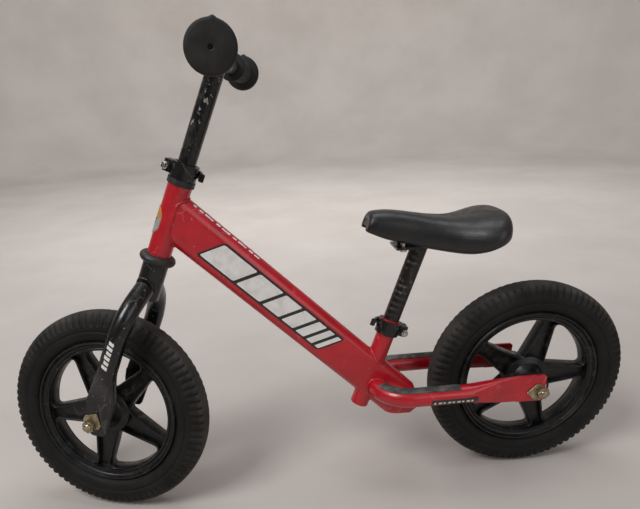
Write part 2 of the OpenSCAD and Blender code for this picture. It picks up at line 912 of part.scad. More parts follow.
// Seat
module seatpost() {
    color(gloss_black) difference() {
        on_seat_tube() translate([0, 0, seat_tube_length - post_inserted])
            tube(seatpost_d / 2, seatpost_d / 2 - tube_wall, post_inserted + post_exposed + 20);
        translate([bracket_x - far / 2, -far / 2, bracket_z]) cube([far, far, far]);
    }
}

module seat_bracket() {
    color(gloss_black) difference() {
        translate([bracket_x - bracket_size[0] / 2, -bracket_size[1] / 2, bracket_z])
            cube([bracket_size[0], bracket_size[1], bracket_thickness]);
        screw_places() translate([0, 0, -1]) cylinder(d = screw_d, h = bracket_thickness + 2);
    }
}

module screw_places() {
    for (x = [-1, 1], y = [-1, 1])
        translate([bracket_x + x * screw_spread[0], y * screw_spread[1], bracket_z]) children();
}

module saddle_screws() {
    color(steel_grey) screw_places() {
        translate([0, 0, -3]) cylinder(r = screw_d * 0.9, h = 3);
        cylinder(d = screw_d, h = bracket_thickness + base_thickness - 1);
    }
}

// The saddle's outer form: a narrow nose, a waist and a broad, raised rear
module saddle_form() {
    nose_r = 13;
    waist_r = 20;
    hip_r = 22;
    nose = [saddle_nose_x + nose_r, nose_width / 2 - nose_r, base_z + 34];
    waist = [saddle_nose_x + 0.44 * saddle_length, 0.42 * nose_width, base_z + 14];
    hips = [saddle_rear_x - 0.24 * saddle_length, saddle_width / 2 - hip_r, base_z + 16];
    rear = [saddle_rear_x - hip_r, saddle_width / 2 - 1.45 * hip_r, base_z + 17.5];
    hull() for (side = [-1, 1]) {
        translate([nose[0], side * nose[1], nose[2]]) sphere(r = nose_r, $fn = 32);
        translate([waist[0], side * waist[1], waist[2]]) sphere(r = waist_r, $fn = 32);
    }
    hull() for (side = [-1, 1]) {
        translate([waist[0], side * waist[1], waist[2]]) sphere(r = waist_r, $fn = 32);
        translate([hips[0], side * hips[1], hips[2]]) sphere(r = hip_r, $fn = 32);
        translate([rear[0], side * rear[1], rear[2]]) sphere(r = hip_r, $fn = 32);
    }
}

// A slab that cuts the plastic base out of the saddle's form
module below_pad() {
    translate([bracket_x - far / 2, -far / 2, base_z - far]) cube([far, far, far + base_thickness]);
}

module saddle_base() {
    color(nylon_black) difference() {
        intersection() {
            saddle_form();
            below_pad();
        }
        translate([bracket_x - far / 2, -far / 2, base_z - far]) cube([far, far, far]);
        screw_places() cylinder(d = screw_d, h = bracket_thickness + base_thickness - 1);
    }
}

module saddle_pad() {
    color(nylon_black) difference() {
        saddle_form();
        below_pad();
    }
}

head_tube();
main_tube();
seat_tube();
left_stay();
right_stay();
left_foot_tape();
right_foot_tape();
head_badge();
upper_headset_bushing();
lower_headset_bushing();
seat_collar();
seat_collar_bolt();
seat_collar_nut();
rear_axle();
rear_bearing_inner_races();
rear_axle_spacers();
rear_tab_washers();
rear_axle_nuts();
steerer_tube();
fork_crown();
left_fork_blade();
right_fork_blade();
bar_collar();
bar_collar_bolt();
bar_collar_nut();
front_axle();
front_bearing_inner_races();
front_axle_spacers();
front_tab_washers();
front_axle_nuts();
handlebar_stem();
crossbar();
left_grip();
right_grip();
front_wheel();
front_tyre();
front_bearing_outer_races();
rear_wheel();
rear_tyre();
rear_bearing_outer_races();
seatpost();
seat_bracket();
saddle_base();
saddle_pad();
saddle_screws();
seat_lever();
seat_lever_pin();
bar_lever();
bar_lever_pin();
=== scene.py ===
import json
from math import asin, cos, hypot, pi, radians, sin, sqrt, tau

import bmesh
import bpy
from mathutils import Matrix, Vector
from mathutils.geometry import tessellate_polygon


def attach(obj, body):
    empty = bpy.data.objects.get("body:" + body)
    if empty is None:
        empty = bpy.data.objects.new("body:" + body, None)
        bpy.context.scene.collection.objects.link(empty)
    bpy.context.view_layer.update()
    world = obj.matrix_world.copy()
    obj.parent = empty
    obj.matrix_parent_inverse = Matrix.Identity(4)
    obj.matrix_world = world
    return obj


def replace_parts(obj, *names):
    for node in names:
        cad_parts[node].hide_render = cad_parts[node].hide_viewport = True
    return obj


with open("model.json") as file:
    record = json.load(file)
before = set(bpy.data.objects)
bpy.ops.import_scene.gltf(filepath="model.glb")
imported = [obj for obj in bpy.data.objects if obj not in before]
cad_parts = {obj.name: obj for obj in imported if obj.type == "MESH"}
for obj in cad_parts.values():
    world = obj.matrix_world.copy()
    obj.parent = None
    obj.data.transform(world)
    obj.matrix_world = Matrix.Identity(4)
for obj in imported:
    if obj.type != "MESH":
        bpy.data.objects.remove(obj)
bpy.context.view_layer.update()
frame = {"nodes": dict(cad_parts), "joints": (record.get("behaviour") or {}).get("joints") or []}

joints = {joint["name"]: joint for joint in frame["joints"]}
rear_axle = Vector(joints["rear_wheel_spin"]["pos_m"])
front_axle = Vector(joints["steering"]["pos_m"])

# ---- Camera and studio ---------------------------------------------------------------
# The camera stands on the rider's left, a little above the saddle, and looks slightly
# down. The floor is a sheet of pale paper that curves up into a round backdrop.
camera_stand = rear_axle + Vector((-0.3865, -0.7029, 0.4045))
camera_heading = radians(-3.97)
camera_tilt = radians(68.23)
camera_roll = radians(-2.89)

camera = bpy.data.objects.new("camera", bpy.data.cameras.new("camera"))
bpy.context.scene.collection.objects.link(camera)
camera.matrix_world = (
    Matrix.Translation(camera_stand)
    @ Matrix.Rotation(camera_heading, 4, "Z")
    @ Matrix.Rotation(camera_tilt, 4, "X")
    @ Matrix.Rotation(camera_roll, 4, "Z")
)
camera.data.lens = 31.69
camera.data.shift_x = 0.047
camera.data.shift_y = 0.091
camera.data.clip_start = 0.01
bpy.context.scene.camera = camera


class Wire:
    """A value in a material. Arithmetic on it adds the Math nodes of the expression."""

    def __init__(self, finish, socket):
        self.finish = finish
        self.socket = socket

    def math(self, operation, first, second):
        return self.finish.node("ShaderNodeMath", {"operation": operation}, {0: first, 1: second})

    def __add__(self, other):
        return self.math("ADD", self, other)

    def __sub__(self, other):
        return self.math("SUBTRACT", self, other)

    def __rsub__(self, other):
        return self.math("SUBTRACT", other, self)

    def __mul__(self, other):
        return self.math("MULTIPLY", self, other)

    def __truediv__(self, other):
        return self.math("DIVIDE", self, other)

    def __pow__(self, power):
        return self.math("POWER", self, power)

    def __lt__(self, limit):
        return self.math("LESS_THAN", self, limit)

    def __gt__(self, limit):
        return self.math("GREATER_THAN", self, limit)

    __radd__ = __add__
    __rmul__ = __mul__


class Finish:
    """A material under construction: its nodes, its surface shader and its wires."""

    def __init__(self, name, **constants):
        self.material = bpy.data.materials.new(name)
        self.material.use_nodes = True
        self.tree = self.material.node_tree
        self.shader = self.tree.nodes["Principled BSDF"]
        self.set(**constants)

    def node(self, kind, settings=None, sockets=None, output=0):
        made = self.tree.nodes.new(kind)
        for setting, value in (settings or {}).items():
            if setting == "stops":
                for place, colour in value:
                    made.color_ramp.elements.new(place).color = colour
                made.color_ramp.elements.remove(made.color_ramp.elements[0])
                made.color_ramp.elements.remove(made.color_ramp.elements[-1])
            else:
                setattr(made, setting, value)
        self.feed(made, sockets or {})
        return Wire(self, made.outputs[output])

    def feed(self, node, sockets):
        for socket, value in sockets.items():
            if isinstance(value, Wire):
                self.tree.links.new(value.socket, node.inputs[socket])
            else:
                node.inputs[socket].default_value = value

    def set(self, **sockets):
        self.feed(self.shader, {name.replace("_", " "): value for name, value in sockets.items()})

    def place(self, stretch=(1, 1, 1)):
        """Where the point is on the piece, in metres, stretched along the piece's axes."""
        spot = self.node("ShaderNodeTexCoord", output="Object")
        return self.node("ShaderNodeVectorMath", {"operation": "MULTIPLY"}, {0: spot, 1: stretch})

    def axis(self, vector, name):
        return self.node("ShaderNodeSeparateXYZ", sockets={0: vector}, output=name)

    def noise(self, scale, detail=3.0, stretch=(1, 1, 1)):
        return self.node("ShaderNodeTexNoise", sockets={
            "Vector": self.place(stretch), "Scale": scale, "Detail": detail, "Roughness": 0.6})

    def rise(self, value, low, high):
        """0 below low, 1 above high, and a smooth step between."""
        return self.node("ShaderNodeMapRange", {"interpolation_type": "SMOOTHSTEP"}, {
            "Value": value, "From Min": low, "From Max": high})

    def mix(self, below, above, mask):
        return self.node("ShaderNodeMix", {"data_type": "RGBA"}, {0: mask, 6: below, 7: above}, output=2)

    def scratches(self, scale, width, share, stretch=(1, 1, 1)):
        """Thin crooked lines, kept only where a slow noise passes 1 - share."""
        bent = self.node("ShaderNodeVectorMath", {"operation": "MULTIPLY_ADD"}, {
            0: self.node("ShaderNodeTexNoise", sockets={
                "Vector": self.place(stretch), "Scale": scale * 0.7, "Detail": 1.0}, output="Color"),
            1: (0.6 / scale, 0.6 / scale, 0.6 / scale), 2: self.place(stretch)})
        edge = self.node("ShaderNodeTexVoronoi", {"feature": "DISTANCE_TO_EDGE"}, {
            "Vector": bent, "Scale": scale})
        return (1 - self.rise(edge, width * 0.3, width)) * self.rise(
            self.noise(scale * 0.9, 2.0), 1 - share, 1.04 - share)

    def upward(self, low, high):
        """Where dust settles: 1 on surfaces that face up in the piece's own frame."""
        return self.rise(self.axis(self.node("ShaderNodeTexCoord", output="Normal"), "Z"), low, high)

    def sine(self, value):
        return self.node("ShaderNodeMath", {"operation": "SINE"}, {0: value})

    def bump(self, height, distance, strength=1.0):
        self.set(Normal=self.node("ShaderNodeBump", sockets={
            "Height": height, "Distance": distance, "Strength": strength}))


def join(name, points, faces, smooth_angle=38):
    """A mesh object from points and faces, with its sides facing out."""
    mesh = bpy.data.meshes.new(name)
    mesh.from_pydata([tuple(point) for point in points], [], faces)
    mesh.validate()
    shell = bmesh.new()
    shell.from_mesh(mesh)
    bmesh.ops.recalc_face_normals(shell, faces=shell.faces)
    shell.to_mesh(mesh)
    shell.free()
    mesh.shade_smooth()
    mesh.set_sharp_from_angle(angle=radians(smooth_angle))
    piece = bpy.data.objects.new(name, mesh)
    bpy.context.scene.collection.objects.link(piece)
    return piece


def turned(profile, steps):
    """Points and faces of a profile of (radius, height) turned round z."""
    points = [
        (radius * cos(tau * step / steps), radius * sin(tau * step / steps), height)
        for step in range(steps) for radius, height in profile
    ]
    count = len(profile)
    faces = []
    for step in range(steps):
        here = step * count
        after = (step + 1) % steps * count
        faces += [(here + i, after + i, after + i + 1, here + i + 1) for i in range(count - 1)]
    return points, faces


sweep_radius = 1.2
floor_radius = 5.0
sweep_profile = [(0.0001, 0), (1.0, 0), (2.5, 0), (floor_radius - sweep_radius, 0)]
sweep_profile += [
    (floor_radius - sweep_radius * (1 - sin(turn)), sweep_radius * (1 - cos(turn)))
    for turn in (pi / 24 * i for i in range(1, 13))
]
sweep_profile += [(floor_radius, 3.5)]
paper = Finish("studio_paper", Roughness=0.9, Specular_IOR_Level=0.2)
paper.set(Base_Color=paper.mix(
    (0.50, 0.455, 0.425, 1), (0.56, 0.515, 0.48, 1), paper.rise(paper.noise(2.2, 4.0), 0.3, 0.7)))
backdrop = join("backdrop", *turned(sweep_profile, 96))
backdrop.data.flip_normals()
backdrop.data.materials.append(paper.material)

for name, stand, aim, width, height, power in (
    ("key_light", (-1.5, -1.1, 2.3), (0, 0, 0.2), 1.1, 1.1, 46),
    ("fill_light", (1.6, -2.2, 1.3), (0, 0, 0.25), 1.8, 1.6, 14),
    ("top_light", (0.2, 0.5, 2.6), (0, 0, 0.2), 2.2, 1.4, 22),
    ("wall_light", (0.3, 1.3, 2.3), (0.2, 4.8, 0.5), 2.4, 0.8, 75),
):
    lamp = bpy.data.lights.new(name, "AREA")
    lamp.shape = "RECTANGLE"
    lamp.size = width
    lamp.size_y = height
    lamp.energy = power
    light = bpy.data.objects.new(name, lamp)
    bpy.context.scene.collection.objects.link(light)
    light.location = stand
    light.rotation_euler = (Vector(aim) - Vector(stand)).to_track_quat("-Z", "Y").to_euler()
world = bpy.data.worlds.new("room")
bpy.context.scene.world = world
world.use_nodes = True
world.node_tree.nodes["Background"].inputs["Color"].default_value = (0.93, 0.95, 1.0, 1)
world.node_tree.nodes["Background"].inputs["Strength"].default_value = 0.20
bpy.context.scene.view_settings.view_transform = "Standard"

# ---- Red frame tubes -----------------------------------------------------------------
# Five steel tubes, welded and powder coated in gloss red. The coat is scuffed to a paler
# red where shoes and other bikes rub it, and chipped down to the grey steel in places.
red = Finish("red_powder_coat", Coat_Roughness=0.12, Specular_IOR_Level=0.5)
red_cloud = red.rise(red.noise(26, 4.0), 0.35, 0.7)
red_scuff = red.scratches(55, 0.035, 0.42)
red_chip = red.rise(red.noise(160, 2.0), 0.745, 0.755)
red_coat = red.mix((0.40, 0.004, 0.012, 1), (0.50, 0.007, 0.019, 1), red_cloud)
red_coat = red.mix(red_coat, (0.62, 0.16, 0.15, 1), red_scuff * 0.45)
red.set(
    Base_Color=red.mix(red_coat, (0.30, 0.27, 0.26, 1), red_chip * 0.8),
    Roughness=0.30 + red_cloud * 0.10 + red_scuff * 0.25,
    Coat_Weight=0.35 - red_scuff * 0.3)
red.bump(red.noise(420, 2.0) - red_scuff * 0.8 - red_chip * 2, 0.00012)


def wear(finish, *nodes):
    """Gives CAD nodes a finish."""
    for node in nodes:
        mesh = frame["nodes"][node].data
        mesh.materials.clear()
        mesh.materials.append(finish.material)


wear(red, "head_tube", "main_tube", "seat_tube", "left_stay", "right_stay")

head_angle = radians(66.5)
seat_angle = radians(70.5)
fork_turn = radians(-18.4)
bar_turn = radians(-5.3)
head_bottom = 0.2364
head_tube_length = 0.092
head_tube_radius = 0.0152
seat_tube_radius = 0.0127
stay_radius = 0.0127
stay_height = 0.148
stay_middle = 0.052
tube_half_width = 0.015
tube_flat_half = 0.0145


def steering_frame(turn):
    """The steering axis as local z with its origin at the front axle, turned about itself."""
    return (
        Matrix.Translation(front_axle)
        @ Matrix.Rotation(pi / 2 - head_angle, 4, "Y")
        @ Matrix.Rotation(turn, 4, "Z")
    )


seat_joint_height = 0.047
seat_foot = rear_axle + Vector((-0.2435, 0, -0.024))
seat_frame = Matrix.Translation(seat_foot) @ Matrix.Rotation(pi / 2 - seat_angle, 4, "Y")
main_start = steering_frame(0) @ Vector((0, 0, head_bottom + 0.58 * head_tube_length))
main_way = (seat_frame @ Vector((0, 0, seat_joint_height)) - main_start).normalized()
main_up = Vector((-main_way.z, 0, main_way.x))


def loft(rings, closed=False):
    """Points and faces of a skin over rings of equally many points, capped unless closed."""
    count = len(rings[0])
    points = [point for ring in rings for point in ring]
    faces = []
    for row in range(len(rings) if closed else len(rings) - 1):
        below = row * count
        above = (row + 1) % len(rings) * count
        faces += [
            (below + i, below + (i + 1) % count, above + (i + 1) % count, above + i)
            for i in range(count)
        ]
    if not closed:
        faces += [tuple(range(count))[::-1], tuple(range(len(points) - count, len(points)))]
    return points, faces


def merged(*parts):
    """Several skins as the points and faces of one mesh."""
    points, faces = [], []
    for more_points, more_faces in parts:
        start = len(points)
        points += list(more_points)
        faces += [tuple(start + i for i in face) for face in more_faces]
    return points, faces


def fit(piece, finish, body, placement=None):
    """Puts a finished piece in its place on a body."""
    piece.data.materials.append(finish.material)
    if placement is not None:
        piece.matrix_world = placement
    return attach(piece, body)


def pressed_ring(centre, along, side, reach, width, squareness, count=48):
    """A ring round a tube: round at squareness 2, and a flat bar with round corners above it."""
    ring = []
    for i in range(count):
        turn = tau * (i + 0.5) / count
        power = 2 / squareness
        u = abs(cos(turn)) ** power * (1 if cos(turn) > 0 else -1)
        v = abs(sin(turn)) ** power * (1 if sin(turn) > 0 else -1)
        ring.append(Vector(centre) + Vector(along) * (u * reach) + Vector(side) * (v * width))
    return ring


def smooth(share):
    return share * share * (3 - 2 * share)


def slab(outline, low, high, chamfer):
    """A flat plate over an outline in the xy plane, with its edges eased."""
    count = len(outline)
    inset = []
    for i in range(count):
        before, here, after = (Vector(outline[(i + step) % count]) for step in (-1, 0, 1))
        first = (here - before).normalized()
        second = (after - here).normalized()
        inward = Vector((-first.y - second.y, first.x + second.x))
        inset.append(here + inward * (chamfer / max(0.35, inward.length_squared / 2)))
    rings = [
        [(x, y, low) for x, y in inset],
        [(x, y, low + chamfer) for x, y in outline],
        [(x, y, high - chamfer) for x, y in outline],
        [(x, y, high) for x, y in inset],
    ]
    points, faces = loft(rings)
    lid = tessellate_polygon([[Vector((x, y, 0)) for x, y in inset]])
    top = len(points) - count
    faces = faces[:-2] + [tuple(face) for face in lid]
    faces += [tuple(top + i for i in face) for face in lid]
    return points, faces


# Each stay is a bent tube with its rear end pressed flat into a slotted dropout.
stay_bend_start = rear_axle.x - 0.18
stay_bend_radius = 0.042
stay_end = rear_axle.x - 0.032
stay_press = rear_axle.x - 0.112
pressed_half_thickness = 0.0021
pressed_half_height = 0.0191
plate_half_thickness = 0.002
plate_chamfer = 0.0004
slot_radius = 0.005
axle_slot = [
    (slot_radius * cos(turn), slot_radius * sin(turn))
    for turn in (pi / 2 + pi / 8 * i for i in range(9))
]
stay_plate = (
    [(-0.036, -0.0134), (0.002, -0.0143), (0.0045, -0.0120), (0.0042, -0.0052)]
    + axle_slot[::-1]
    + [(0.0046, 0.0052), (0.0058, 0.0215), (0.0030, 0.0244), (-0.036, 0.0254)]
)
for name, side in (("left_stay", -1), ("right_stay", 1)):
    rings = []
    bend_y = stay_middle - stay_bend_radius
    for inside in (0.0118, 0.0134):
        spot = (stay_bend_start - stay_bend_radius, side * inside, stay_height)
        rings.append(pressed_ring(spot, (-1, 0, 0), (0, 0, 1), stay_radius, stay_radius, 2))
    for i in range(1, 17):
        turn = pi / 2 * i / 16
        x = stay_bend_start - stay_bend_radius * cos(turn)
        y = side * (bend_y + stay_bend_radius * sin(turn))
        spot = (x, y, stay_height)
        if abs(y) > 0.0160:
            rings.append(pressed_ring(
                spot, (-cos(turn), side * sin(turn), 0), (0, 0, 1), stay_radius, stay_radius, 2))
    for i in range(13):
        share = smooth(i / 12)
        x = stay_press + (stay_end - stay_press) * i / 12
        rings.append(pressed_ring(
            (x, side * stay_middle, stay_height), (0, side, 0), (0, 0, 1),
            stay_radius + (pressed_half_thickness - stay_radius) * share,
            stay_radius + (pressed_half_height - stay_radius) * share,
            2 + 4 * share))
    plate = slab(stay_plate, -plate_half_thickness, plate_half_thickness, plate_chamfer)
    turned_plate = [(rear_axle.x + x, side * stay_middle - z, rear_axle.z + y) for x, y, z in plate[0]]
    piece = join(name + "_tube", *merged(loft(rings), (turned_plate, plate[1])))
    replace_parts(fit(piece, red, "frame"), name)

# ---- Weld beads ----------------------------------------------------------------------
# Every frame joint has a bead of weld run round it by hand, a row of small overlapping
# ripples under the same red coat. Each bead follows the line where the two tubes meet.
bead_radius = 0.0017
ripple = 0.0022


def off_main_tube(point):
    """How far a point is outside the main tube's flat-sided section."""
    away = point - main_start
    height = max(abs(away.dot(main_up)) - tube_flat_half, 0)
    return hypot(height, away.y) - tube_half_width


def off_head_tube(point):
    away = point - front_axle
    axis = Vector((cos(head_angle), 0, sin(head_angle)))
    return (away - axis * away.dot(axis)).length - head_tube_radius


def meeting_line(start, way, off, near, far, count=96):
    """Where lines that leave start(turn) along way pass from inside to outside the other tube."""
    line = []
    for i in range(count):
        low, high = near, far
        for _ in range(24):
            middle = (low + high) / 2
            if off(start(tau * i / count) + way * middle) < 0:
                low = middle
            else:
                high = middle
        line.append(start(tau * i / count) + way * low)
    return line


def bead(name, line, finish, body, radius=bead_radius, placement=None):
    """A rippled bead along a closed line."""
    length = sum((line[i] - line[i - 1]).length for i in range(len(line)))
    ripples = max(8, round(length / ripple))
    middle = sum(line, Vector()) / len(line)
    steps = ripples * 4
    rings = []
    for step in range(steps):
        place = step / steps * len(line)
        index = int(place)
        here = line[index].lerp(line[(index + 1) % len(line)], place - index)
        way = (line[(index + 2) % len(line)] - line[index - 1]).normalized()
        out = (here - middle).cross(way).normalized()
        across = way.cross(out)
        swell = radius * (0.86 + 0.2 * abs(sin(pi * (step + 0.5) / 4)))
        rings.append([
            here + (out * cos(tau * i / 10) + across * sin(tau * i / 10)) * swell for i in range(10)
        ])
    return fit(join(name, *loft(rings, closed=True), smooth_angle=70), finish, body, placement)


def main_rim(turn):
    """A point on the main tube's outline at its front end."""
    height = tube_half_width * cos(turn) + (tube_flat_half if cos(turn) > 0 else -tube_flat_half)
    forward = Vector((sin(head_angle), 0, -cos(head_angle)))
    shift = -height * forward.dot(main_up) / forward.dot(main_way)
    return main_start + main_up * height + main_way * shift + Vector(
        (0, tube_half_width * 0.985 * sin(turn), 0))


def seat_rim(turn):
    return seat_frame @ Vector((
        seat_tube_radius * cos(turn), seat_tube_radius * sin(turn), seat_joint_height))


seat_way = (seat_frame @ Vector((0, 0, 1)) - seat_foot).normalized()
thin_bead_radius = 0.0013
stay_bead_reach = stay_radius + 0.0006
for name, start, way, off, far, radius in (
    ("head_weld", main_rim, main_way, off_head_tube, 0.08, bead_radius),
    ("seat_weld_top", seat_rim, seat_way, off_main_tube, 0.09, bead_radius),
    ("seat_weld_bottom", seat_rim, -seat_way, off_main_tube, 0.09, thin_bead_radius),
):
    bead(name, meeting_line(start, way, off, 0, far), red, "frame", radius)
for name, side in (("left_stay_weld", -1), ("right_stay_weld", 1)):
    line = []
    for i in range(72):
        turn = tau * i / 72
        line.append(Vector((
            stay_bend_start - stay_bend_radius + stay_bead_reach * cos(turn), side * 0.0155,
            stay_height + stay_bead_reach * sin(turn))))
    bead(name, line, red, "frame")

# ---- Printed graphics ----------------------------------------------------------------
# Thin printed film on the painted tubes: a row of slanted white blocks with a black
# border on both sides of the main tube, and small white dashes. The film is scuffed.
film_lift = 0.00012
white_film = Finish("white_film", Coat_Weight=0.3, Coat_Roughness=0.2)
film_wear = white_film.scratches(70, 0.05, 0.35)
film_cloud = white_film.rise(white_film.noise(60, 3.0), 0.35, 0.75)
white_film.set(
    Base_Color=white_film.mix(
        white_film.mix((0.80, 0.79, 0.77, 1), (0.66, 0.64, 0.62, 1), film_cloud), (0.30, 0.10, 0.09, 1),
        film_wear * 0.5),
    Roughness=0.36 + film_wear * 0.3)
black_film = Finish("black_film", Coat_Weight=0.3, Coat_Roughness=0.2)
black_film_wear = black_film.scratches(70, 0.05, 0.35)
black_film.set(
    Base_Color=black_film.mix((0.010, 0.010, 0.011, 1), (0.09, 0.05, 0.05, 1), black_film_wear),
    Roughness=0.34 + black_film_wear * 0.3)


def main_surface(along, around, side, lift):
    """A point on the main tube's side: along from the head, around up from the middle line."""
    beyond = max(abs(around) - tube_flat_half, 0) / tube_half_width
    height = min(abs(around), tube_flat_half) + (tube_half_width + lift) * sin(beyond)
    height = height if around > 0 else -height
    return main_start + main_way * along + main_up * height + Vector(
        (0, side * (tube_half_width + lift) * cos(beyond), 0))


def film_sheet(surface, start, end, low, high, slant, lift, corner=0.0, columns=28, rows=14):
    """A slanted patch of film laid on a surface, with its corners rounded off."""
    points = []
    for column in range(columns + 1):
        for row in range(rows + 1):
            u = column / columns
            v = row / rows * 2 - 1
            edge = corner / max(end - start, 1e-6)
            near = min(u, 1 - u)
            trim = 1.0
            if near < edge:
                trim = 1 - (corner / ((high - low) / 2)) * (1 - sqrt(max(0, 1 - (1 - near / edge) ** 2)))
            around = (high + low) / 2 + v * trim * (high - low) / 2
            points.append(surface(start + (end - start) * u + slant * around, around, lift))
    faces = [
        (column * (rows + 1) + row, (column + 1) * (rows + 1) + row, (column + 1) * (rows + 1) + row + 1,
         column * (rows + 1) + row + 1)
        for column in range(columns) for row in range(rows)
    ]
    return points, faces


block_low = -0.0142
block_high = 0.0156
block_border = 0.0028
block_gap = 0.0052
block_slant = 0.55
blocks = []
block_start = 0.064
for block_length in (0.054, 0.039, 0.028, 0.020, 0.014, 0.010, 0.007):
    blocks.append((block_start, block_start + block_length))
    block_start += block_length + block_gap
for name, side in (("left", -1), ("right", 1)):
    def on_side(along, around, lift, side=side):
        return main_surface(along, around, side, lift)

    white = [
        film_sheet(on_side, a, b, block_low, block_high, block_slant, 2.2 * film_lift, 0.0012)
        for a, b in blocks
    ]
    border = film_sheet(on_side, blocks[0][0] - block_border, blocks[-1][1] + block_border,
                        block_low - block_border, block_high + block_border, block_slant, film_lift,
                        0.003, 90)
    fit(join(name + "_graphic_border", *border), black_film, "frame")
    fit(join(name + "_graphic_blocks", *merged(*white)), white_film, "frame")
    dashes = [
        film_sheet(on_side, a, a + 0.0042 * (1 + i % 3 * 0.5), 0.0300, 0.0335 - 0.0009 * (i % 2), 0.3,
                   2 * film_lift, columns=4, rows=3)
        for i, a in enumerate(0.004 + 0.0088 * i for i in range(12))
    ]
    fit(join(name + "_edge_dashes", *merged(*dashes)), white_film, "frame")


def on_left_stay(along, around, lift):
    """Along runs rearward from the rear axle, around is an angle on the stay's outer side."""
    reach = stay_radius + lift
    return Vector((
        rear_axle.x + along, -stay_middle - reach * cos(around), stay_height + reach * sin(around)))


patch = film_sheet(on_left_stay, -0.158, -0.094, -0.72, 0.04, 0, film_lift, 0.0, 24, 10)
patch_dashes = [
    film_sheet(on_left_stay, a, a + 0.0030 + 0.0014 * (i % 2), -0.50, -0.24, 0, 2.4 * film_lift, 0.0, 3, 4)
    for i, a in enumerate(-0.1545 + 0.0064 * i for i in range(9))
]
fit(join("stay_patch", *patch), black_film, "frame")
fit(join("stay_patch_dashes", *merged(*patch_dashes)), white_film, "frame")

# ---- Head badge ----------------------------------------------------------------------
# A curved satin plate glued to the front of the head tube, printed with a dark slanted
# band and a warm coloured cap. Its face is rubbed and slightly dirty.
badge = Finish("badge_plate", Metallic=0.35, Coat_Weight=0.3, Coat_Roughness=0.2)
badge_point = badge.place()
badge_up_head = 0.2787
badge_height = badge.axis(badge_point, "Z") - (front_axle.z + badge_up_head * sin(head_angle))
badge_side = badge.axis(badge_point, "Y")
badge_band = badge.rise(badge_height * 0.6 + badge_side, -0.0030, -0.0026) * (
    1 - badge.rise(badge_height * 0.6 + badge_side, 0.0026, 0.0030))
badge_cap = badge.rise(badge_height, 0.0085, 0.0095)
badge_colour = badge.mix((0.42, 0.42, 0.41, 1), (0.03, 0.03, 0.035, 1), badge_band)
badge_colour = badge.mix(badge_colour, (0.62, 0.30, 0.06, 1), badge_cap)
badge_rub = badge.rise(badge.noise(300, 3.0), 0.5, 0.7)
badge.set(
    Base_Color=badge.mix(badge_colour, (0.25, 0.23, 0.21, 1), badge_rub * 0.4),
    Roughness=0.38 + badge_rub * 0.2)
badge.bump(badge.noise(500, 2.0), 0.0001)
wear(badge, "head_badge")

# ---- Foot grip tape ------------------------------------------------------------------
# Self-adhesive grit tape wrapped over the top of both stays, where the rider's feet rest.
# The grit is worn paler along the crown of the tube, and dust sits between the grains.
tape = Finish("grit_tape", Specular_IOR_Level=0.3)
grit = tape.noise(2600, 2.0)
tape_wear = tape.rise(tape.noise(70, 4.0), 0.42, 0.66) * tape.upward(0.3, 0.95)
tape.set(
    Base_Color=tape.mix(
        tape.mix((0.035, 0.037, 0.036, 1), (0.085, 0.088, 0.084, 1), tape.rise(grit, 0.4, 0.7)),
        (0.16, 0.155, 0.145, 1), tape_wear * 0.8),
    Roughness=0.88 - tape_wear * 0.15)
tape.bump(grit, 0.0004)
wear(tape, "left_foot_tape", "right_foot_tape")

# ---- Headset bushings ----------------------------------------------------------------
# Black nylon bushings pressed into both ends of the head tube. The lower one has a thick
# round flange that keeps dirt off the crown, and both carry some dust on top.
nylon = Finish("black_nylon", Specular_IOR_Level=0.45)
nylon_cloud = nylon.rise(nylon.noise(45, 4.0), 0.35, 0.7)
nylon_dust = nylon.upward(0.35, 1.0) * nylon.rise(nylon.noise(130, 4.0), 0.35, 0.65)
nylon_scratch = nylon.scratches(80, 0.05, 0.4)
nylon.set(
    Base_Color=nylon.mix(
        nylon.mix((0.012, 0.012, 0.013, 1), (0.024, 0.023, 0.022, 1), nylon_cloud), (0.10, 0.092, 0.082, 1),
        nylon_dust * 0.45 + nylon_scratch * 0.35),
    Roughness=0.42 + nylon_cloud * 0.12 + nylon_dust * 0.2)
nylon.bump(nylon.noise(900, 2.0) - nylon_scratch, 0.00008)
wear(nylon, "upper_headset_bushing", "lower_headset_bushing")

# ---- Fork ----------------------------------------------------------------------------
# Two round steel blades, bent outward from the crown tube and pressed flat into slotted
# dropouts. Gloss black paint, scratched to a paler grey.
black = Finish("black_gloss_paint", Coat_Roughness=0.1, Specular_IOR_Level=0.35)
black_cloud = black.rise(black.noise(30, 4.0), 0.35, 0.7)
black_scratch = black.scratches(60, 0.04, 0.5, (1, 1, 0.35))
black_chip = black.rise(black.noise(210, 2.0), 0.70, 0.71)
black_dust = black.upward(0.4, 1.0) * black.rise(black.noise(90, 4.0), 0.4, 0.7)
black.set(
    Base_Color=black.mix(
        black.mix(
            (0.003, 0.003, 0.0035, 1), (0.075, 0.070, 0.065, 1), black_scratch * 0.6 + black_dust * 0.2),
        (0.26, 0.24, 0.22, 1), black_chip * 0.7),
    Roughness=0.24 + black_cloud * 0.12 + black_scratch * 0.25 + black_dust * 0.25,
    Coat_Weight=0.4 - black_scratch * 0.3 - black_dust * 0.1)
black.bump(black.noise(380, 2.0) - black_scratch * 0.7 - black_chip * 2, 0.00010)
wear(black, "steerer_tube", "fork_crown")

